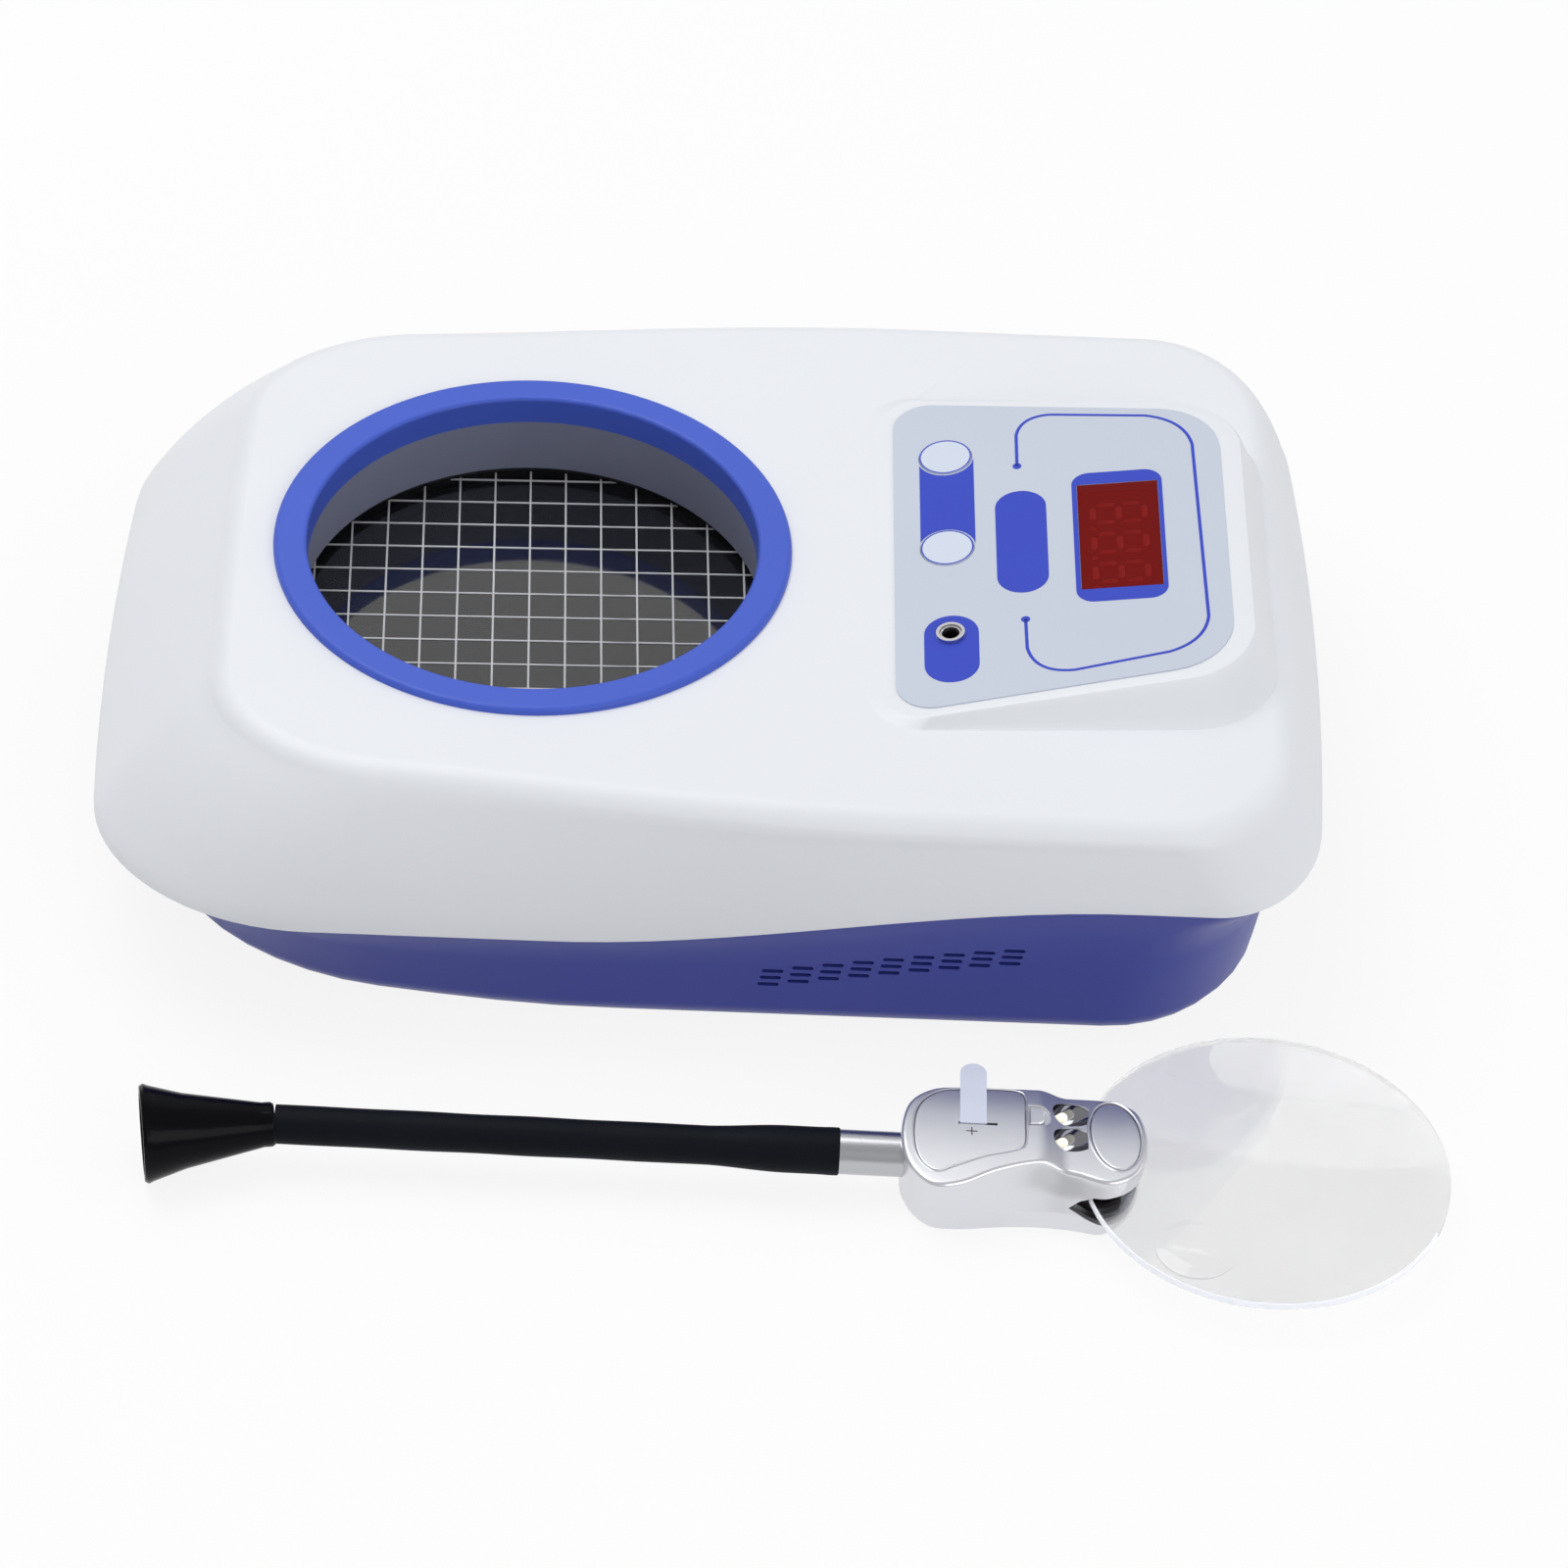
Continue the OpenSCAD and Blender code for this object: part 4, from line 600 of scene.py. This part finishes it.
PAD_AT, PAD_SIZE, PAD_TURN = (56.4, 6.0), (6.5, 12.2), math.radians(7)
SLOT_SIDE = [(44.5, 8.6), (47.5, 11), (51, 12.6), (56, 13), (70, 13.6), (70, 3.6), (58, 4.2), (53, 5),
             (49, 6.4)]
CROWN = 0.75
HEAD_WALL = 1.6
# How far below the skin the lamps' cups and the lining of painted shade end
CUP_DEPTH = 0.3
# Each entry: a lathe profile's radius and height along the lamp's axis
BOWL = [(1.56, -3), (1.56, 0.1), (2.7, 0.9), (3.6, 2.2), (4.2, 4.0), (4.5, 6.4), (4.6, 9)]
DOME = [(1.45, -1.2), (1.45, 2.9), (1.36, 3.5), (1.1, 4.0), (0.62, 4.35)]
SCOOP = [(31.2, 5.3), (40.6, 5.9), (40.6, 13.3), (31.2, 13.9)]
TONGUE = [(33.7, 6.5), (37.6, 6.9), (37.6, 12.3), (33.7, 12.7)]
PLUS_AT, PLUS_HALF, PLUS_STROKE = (18.5, 2.35), (1.5, 1.45), 0.15


def spline(p, n):
    p = np.array(p, float)
    a, c, d = np.roll(p, 1, 0), np.roll(p, -1, 0), np.roll(p, -2, 0)
    t = (np.arange(n) / n)[None, :, None]
    a, b, c, d = a[:, None], p[:, None], c[:, None], d[:, None]
    q = b + 0.5 * t * (c - a + t * (2 * a - 5 * b + 4 * c - d + t * (3 * (b - c) + d - a)))
    return q.reshape(-1, 2)


def head_z(x):
    """The upper face's height, which steps down from the door to the lobe."""
    return HEAD_H - (HEAD_H - LOBE_H) * smooth((np.asarray(x, float) - 36) / 8)


def crowned(x, y):
    """The upper face: the solid's height, falling slightly to both sides."""
    return head_z(x) - CROWN * ((np.asarray(y, float) - 3.2) / 17) ** 2


head_top, head_low = spline(HEAD_TOP, 12), spline(HEAD_LOW, 12)


def head_ring(u, d, t):
    """A ring between the two outlines, inset by d, at the share t of the way up from the seam."""
    q = inset(head_low * (1 - u) + head_top * u, d)
    return raised(q, SPLIT * (1 - t) + crowned(q[:, 0], q[:, 1]) * t)


def edge_ring(d, drop):
    q = inset(head_top, d)
    return raised(q, crowned(q[:, 0], q[:, 1]) - drop)


def high_rings(d, r):
    """From the seam up the side and round the upper edge, whose radius is r."""
    side = [head_ring(0.15 + 0.35 * k / 4, d, 0.45 * k / 4) for k in range(5)]
    top = edge_ring(d, r + d)
    side += [side[4] * (1 - k / 4) + top * k / 4 for k in range(1, 5)]
    return side + [edge_ring(d + r * (1 - math.cos(a)), d + r * (1 - math.sin(a)))
                   for a in (math.pi / 2 * k / 6 for k in range(1, 7))]


def crossed(points, faces, first, n, drop, flip=False):
    """Closes a ring with strips from point k to point n - k, which follow the crowned face."""
    steps = 14
    rows = []
    for k in range(1, n // 2):
        a, b = np.array(points[first + k]), np.array(points[first + n - k])
        row = [first + k]
        for i in range(1, steps):
            q = a + (b - a) * i / steps
            points.append((q[0], q[1], float(crowned(q[0], q[1])) - drop))
            row.append(len(points) - 1)
        rows.append(row + [first + n - k])
    new = [(first, rows[0][i], rows[0][i + 1]) for i in range(steps)]
    for a, b in zip(rows, rows[1:]):
        new += [(a[i], b[i], b[i + 1], a[i + 1]) for i in range(steps)]
    new += [(rows[-1][i], first + n // 2, rows[-1][i + 1]) for i in range(steps)]
    faces += [tuple(reversed(f)) for f in new] if flip else new


def lamp_place(p):
    c, s = math.cos(LAMP_LEAN), math.sin(LAMP_LEAN)
    base = (p[0] - 3.2, p[1], float(head_z(p[0])) - 3.6)

    def place(q):
        return head((base[0] + q[0] * c + q[2] * s, base[1] + q[1], base[2] - q[0] * s + q[2] * c))
    return place


def turned(name, profile, place, n=48):
    rings = [[(r * math.cos(2 * math.pi * i / n), r * math.sin(2 * math.pi * i / n), z) for i in range(n)]
             for r, z in profile]
    return new_object(name, *ring_mesh(rings, (0, 0, profile[0][1]), (0, 0, profile[-1][1])), place)


def prism(name, outline, z0, z1, place):
    q = np.array(outline, float)
    c = q.mean(0)
    return new_object(name, *ring_mesh([raised(q, z0), raised(q, z1)], (*c, z0), (*c, z1)), place)


def oval(grow, n=72):
    c, s = math.cos(PAD_TURN), math.sin(PAD_TURN)
    return np.array([(PAD_AT[0] + a * c - b * s, PAD_AT[1] + a * s + b * c) for a, b in
                     (((PAD_SIZE[0] + grow) * math.cos(t), (PAD_SIZE[1] + grow) * math.sin(t))
                      for t in (2 * math.pi * i / n for i in range(n)))])


def anticlockwise(q):
    area = np.sum(q[:, 0] * np.roll(q[:, 1], -1) - np.roll(q[:, 0], -1) * q[:, 1])
    return q if area > 0 else q[::-1]


def lid(name, outline, lift, deep, r, slot, body, replaced, cut=()):
    """A crowned lid with a rounded edge, on rings drawn in toward its middle."""
    outline = anticlockwise(outline)
    c = outline.mean(0)

    def on(q, drop):
        return raised(q, crowned(q[:, 0], q[:, 1]) + lift - drop)
    rings = [on(outline, deep), on(outline, r)]
    rings += [on(inset(outline, r * (1 - math.cos(a))), r * (1 - math.sin(a)))
              for a in (math.pi / 2 * k / 4 for k in range(1, 5))]
    edge = inset(outline, r)
    rings += [on(c + (edge - c) * (1 - k / 9), 0) for k in range(1, 9)]
    low = (c[0], c[1], float(crowned(*c)) + lift - deep)
    top = (c[0], c[1], float(crowned(*c)) + lift)
    ob = new_object(name, *ring_mesh(rings, low, top), head)
    for other in cut:
        boolean(ob, other)
    return settle(ob, slot, body, replaced)


def bead(name, outline, r, lift):
    """A fine raised line that follows the crowned face."""
    n = len(outline)
    t = np.roll(outline, -1, 0) - np.roll(outline, 1, 0)
    t /= np.linalg.norm(t, axis=1)[:, None]
    side = np.stack([-t[:, 1], t[:, 0]], 1)
    points = []
    for k in range(8):
        a = 2 * math.pi * k / 8
        q = outline + side * r * math.cos(a)
        points += [tuple(v) for v in raised(q, crowned(q[:, 0], q[:, 1]) + lift + r * math.sin(a))]
    faces = [(k * n + i, k * n + (i + 1) % n, (k + 1) % 8 * n + (i + 1) % n, (k + 1) % 8 * n + i)
             for k in range(8) for i in range(n)]
    return settle(new_object(name, points, faces, head), "silver_plastic", "head")


def shell_blank():
    """The cover as one wall: the inner side's rings, then the outer side's."""
    n = len(head_top)
    rings = high_rings(HEAD_WALL, 0.6)[::-1] + high_rings(0, 1.25)
    points, faces = ring_mesh(rings)
    crossed(points, faces, (len(rings) - 1) * n, n, 0)
    crossed(points, faces, 0, n, HEAD_WALL, flip=True)
    return new_object("head_shell", points, faces, head)


def under_skin(ob):
    """Keeps what lies at least the cup's depth under the head's skin."""
    n = len(head_top)
    rings = high_rings(CUP_DEPTH, 1.0)
    points, faces = ring_mesh(rings)
    crossed(points, faces, (len(rings) - 1) * n, n, CUP_DEPTH)
    faces.append(tuple(range(n)))
    boolean(ob, new_object("limit", points, faces, head), "INTERSECT")
    return ob


def cut_slot(cover, reach=60):
    m = len(SLOT_SIDE)
    points = [(x, y, z) for y in (-reach, reach) for x, z in SLOT_SIDE]
    faces = [(i, (i + 1) % m, m + (i + 1) % m, m + i) for i in range(m)]
    faces += [tuple(range(m)), tuple(range(2 * m - 1, m - 1, -1))]
    boolean(cover, new_object("slot", points, faces, head))


def cut_door(cover, door):
    """The door's seat, and within it the opening to the cells."""
    middle = door.mean(0)
    for name, outline, deep in (("door_rebate", inset(door, -0.12), 1.9),
                                ("door_hole", middle + (door - middle) * 0.88, 6)):
        boolean(cover, prism(name, outline, HEAD_H - deep, HEAD_H + 5, head))


def cut_scoop(cover):
    """The sloping hollow for a fingertip at the latch."""
    edge = rounded(SCOOP, [0.6, 3.5, 3.5, 0.6], 10)
    c = np.array((35.5, 9.6))
    rings = [raised(c + (edge - c) * 0.72, HEAD_H - 1.5), raised(edge, HEAD_H + 0.05),
             raised(edge, HEAD_H + 2)]
    boolean(cover, new_object("scoop", *ring_mesh(rings, (*c, HEAD_H - 1.6), (*c, HEAD_H + 2)), head))


def make_shell(door):
    cover = shell_blank()
    for p in LAMPS:
        boolean(cover, under_skin(turned("cup", [(2.6, -0.8), (6.0, 8.0)], lamp_place(p))), "UNION")
    cut_slot(cover)
    cut_door(cover, door)
    boolean(cover, prism("pad_hole", oval(0.12), LOBE_H - 5, LOBE_H + 5, head))
    cut_scoop(cover)
    for p in LAMPS:
        boolean(cover, turned("reflector", BOWL, lamp_place(p)))
    settle(cover, "silver_plastic", "head", ["head_cover"], sharp=28)


def painted_shade_lining(p):
    """A reflector's thin lining, in darker chrome as painted shade."""
    skin = turned("shade_lining_skin", [(r - 0.02, z) for r, z in BOWL[1:]], lamp_place(p))
    within = [(1.5, -3)] + [(r - 0.2, z + 0.12) for r, z in BOWL[1:]] + [(4.4, 12)]
    boolean(skin, turned("hollow", within, lamp_place(p)))
    return under_skin(skin)


def make_lamps():
    for name, one, other, slot, replaced, finish in (
            # The reflectors' lining takes the darker chrome of painted shade.
            ("reflector_plating", *map(painted_shade_lining, LAMPS), "silver_plastic", [], REFLECTOR_PAINTED_SHADE),
            ("lamp_pair", *(turned("lamp", DOME, lamp_place(p)) for p in LAMPS), "led_clear",
             ["head_leds"], None)):
        boolean(one, other, "UNION")
        one.name = name
        settle(one, slot, "head", replaced, finish)


def make_lids(door):
    slit = box_mm("slit", (15.0, 4.8, HEAD_H - 6), (25.2, 5.65, HEAD_H + 4), head)
    lid("door_lid", inset(door, 0.06), 0.04, 1.0, 0.35, "silver_plastic", "battery_door", ["battery_door"],
        [slit])
    lid("button_lid", oval(-0.1), 0.1, 2.4, 0.4, "silver_plastic", "light_button", ["light_button"])
    bead("door_rim", inset(door, -0.45), 0.2, -0.06)
    bead("pad_rim", oval(0.62), 0.34, -0.1)


def make_latch():
    edge = rounded(TONGUE, [0.3, 1.6, 1.6, 0.3], 8)
    c = edge.mean(0)
    rings = [raised(edge, HEAD_H - 1.3), raised(edge, HEAD_H - 0.55),
             raised(inset(edge, 0.3), HEAD_H - 0.25)]
    mesh = ring_mesh(rings, (*c, HEAD_H - 1.3), (*c, HEAD_H - 0.25))
    settle(new_object("latch_tongue", *mesh, head), "silver_plastic", "battery_door")


def make_plus():
    (x, y), (a, b), w = PLUS_AT, PLUS_HALF, PLUS_STROKE
    arms = [(a, -w), (w, -w), (w, -b), (-w, -b), (-w, -w), (-a, -w), (-a, w), (-w, w), (-w, b), (w, b),
            (w, w), (a, w)]
    plate("mark_plus", [[(x + u, y + v) for u, v in arms]], HEAD_H + 0.02, HEAD_H + 0.08, head,
          "battery_door", "clamp_dark", INK_DARK)


door = anticlockwise(spline(DOOR, 12))
make_shell(door)
make_lamps()
make_lids(door)
make_latch()
make_plus()
make_jack()


def make_lens_edge(at=(96.5, 3.8), r=48.62, z=10.0, half=0.82):
    """A painted highlight: a faintly glowing strip along the lens's near side, just inside its own edge."""
    n, first, last = 160, math.radians(165), math.radians(335)
    turns = [first + (last - first) * i / (n - 1) for i in range(n)]
    profile = [(r - 0.5, z - half), (r, z - half), (r, z + half), (r - 0.5, z + half)]
    points = [(at[0] + q * math.cos(a), at[1] + q * math.sin(a), h) for q, h in profile for a in turns]
    faces = [(k * n + i, k * n + i + 1, (k + 1) % 4 * n + i + 1, (k + 1) % 4 * n + i)
             for k in range(4) for i in range(n - 1)]
    faces += [tuple(k * n for k in range(4)), tuple(k * n + n - 1 for k in range(3, -1, -1))]
    # The strip glows as a painted highlight on the lens's near edge.
    settle(new_object("lens_edge", points, faces, head), "lens_clear", "head", material=PAINTED_EDGE_HIGHLIGHT)


make_lens_edge()


# ---- the nodes that stay: smooth curved faces, and a finish from their slot
def smoothing_group(limit=32):
    g = bpy.data.node_groups.new("smooth_faces", "GeometryNodeTree")
    g.interface.new_socket("Geometry", in_out="INPUT", socket_type="NodeSocketGeometry")
    g.interface.new_socket("Geometry", in_out="OUTPUT", socket_type="NodeSocketGeometry")
    add = g.nodes.new
    start, end = add("NodeGroupInput"), add("NodeGroupOutput")
    merge = add("GeometryNodeMergeByDistance")
    merge.inputs["Distance"].default_value = 2e-6
    faces = add("GeometryNodeSetShadeSmooth")
    edges = add("GeometryNodeSetShadeSmooth")
    edges.domain = "EDGE"
    edges.inputs["Shade Smooth"].default_value = False
    angle = add("GeometryNodeInputMeshEdgeAngle")
    above = add("FunctionNodeCompare")
    above.data_type, above.operation = "FLOAT", "GREATER_THAN"
    above.inputs[1].default_value = math.radians(limit)
    link = g.links.new
    link(start.outputs[0], merge.inputs["Geometry"])
    link(merge.outputs[0], faces.inputs["Geometry"])
    link(faces.outputs[0], edges.inputs["Geometry"])
    link(angle.outputs[0], above.inputs[0])
    link(above.outputs[0], edges.inputs["Selection"])
    link(edges.outputs[0], end.inputs[0])
    return g


group = smoothing_group()
slots = {s["node"]: s["material_slot"] for s in frame["record"]["subparts"]}
for name, ob in nodes.items():
    ob.data.materials.clear()
    ob.data.materials.append(MATERIALS[slots[name]])
    m = ob.modifiers.new("smooth", "NODES")
    m.node_group = group
    m = ob.modifiers.new("normals", "WEIGHTED_NORMAL")
    m.keep_sharp = True

# ---- camera, floor and light
PITCH, YAW, ROLL = (math.radians(a) for a in (42.037, -1.924, 3.467))
EYE = Vector((-33.18, -1150.57, 1079.08)) * MM
# The focal length and the frame's width, in the photograph's pixels
FOCAL, FRAME_W = 5800, 1600
cp, sp, cy, sy, cr, sr = (f(a) for a in (PITCH, YAW, ROLL) for f in (math.cos, math.sin))
axes = Matrix(((1, 0, 0), (0, -sp, -cp), (0, cp, -sp)))
turn = Matrix(((cy, sy, 0), (-sy, cy, 0), (0, 0, 1)))
tilt = Matrix(((cr, -sr, 0), (sr, cr, 0), (0, 0, 1)))
right, down, ahead = (tilt @ axes @ turn)
cam = bpy.data.cameras.new("camera")
cam.sensor_width = 36
cam.sensor_fit = "HORIZONTAL"
cam.lens = FOCAL / FRAME_W * cam.sensor_width
cam.clip_end = 50
eye = bpy.data.objects.new("camera", cam)
eye.matrix_world = Matrix((
    (right[0], -down[0], -ahead[0], EYE[0]), (right[1], -down[1], -ahead[1], EYE[1]),
    (right[2], -down[2], -ahead[2], EYE[2]), (0, 0, 0, 1)))
bpy.context.scene.collection.objects.link(eye)
bpy.context.scene.camera = eye

# The share of the floor's own shade that the camera sees as white, and the room's even light
FLOOR_WHITE, ROOM_LIGHT = 0.87, 0.52
floor = new_object("floor", [(-4, -4, 0), (4, -4, 0), (4, 4, 0), (-4, 4, 0)], [(0, 1, 2, 3)], Vector)
floor_finish = F("floor_paper", (0.86, 0.86, 0.86), 0.9, grain=(400, 0.02), mottle=(2, 0.004))
tree = floor_finish.node_tree
lit = tree.nodes["Principled BSDF"]
white = node_of(tree, "ShaderNodeEmission", Color=(1, 1, 1, 1), Strength=1.0)
path = node_of(tree, "ShaderNodeLightPath")
seen = node_of(tree, "ShaderNodeMath", operation="MAXIMUM")
through_glass = node_of(tree, "ShaderNodeMath", operation="MAXIMUM")
share = node_of(tree, "ShaderNodeMath", operation="MULTIPLY")
share.inputs[1].default_value = FLOOR_WHITE
blend_floor = node_of(tree, "ShaderNodeMixShader")
tree.links.new(path.outputs["Is Camera Ray"], seen.inputs[0])
tree.links.new(path.outputs["Is Glossy Ray"], seen.inputs[1])
tree.links.new(seen.outputs[0], through_glass.inputs[0])
tree.links.new(path.outputs["Is Transmission Ray"], through_glass.inputs[1])
tree.links.new(through_glass.outputs[0], share.inputs[0])
tree.links.new(share.outputs[0], blend_floor.inputs[0])
tree.links.new(lit.outputs[0], blend_floor.inputs[1])
tree.links.new(white.outputs[0], blend_floor.inputs[2])
tree.links.new(blend_floor.outputs[0], tree.nodes["Material Output"].inputs["Surface"])
floor.data.materials.append(floor_finish)

world = bpy.data.worlds.new("room")
bpy.context.scene.world = world
world.use_nodes = True
world.node_tree.nodes["Background"].inputs["Color"].default_value = (1, 1, 1, 1)
world.node_tree.nodes["Background"].inputs["Strength"].default_value = ROOM_LIGHT


def softbox(name, at, aim, size, power):
    light = bpy.data.lights.new(name, "AREA")
    light.shape, light.size, light.size_y, light.energy = "RECTANGLE", size[0], size[1], power
    ob = bpy.data.objects.new(name, light)
    ob.location = at
    ob.rotation_euler = (Vector(aim) - Vector(at)).to_track_quat("-Z", "Y").to_euler()
    bpy.context.scene.collection.objects.link(ob)


softbox("key", (-0.5, 0.35, 1.5), (0, 0, 0.03), (1.2, 1.0), 12.2)
softbox("front", (0.95, -1.25, 0.85), (0.06, 0, 0.03), (1.2, 0.8), 6.2)
softbox("back", (0.1, 2.2, 2.2), (0, 0, 0.03), (3.0, 1.5), 5)
softbox("side", (1.8, 0.1, 0.85), (0.12, 0.05, 0.06), (1.4, 0.9), 3.2)

scene = bpy.context.scene
scene.view_settings.view_transform = "Standard"
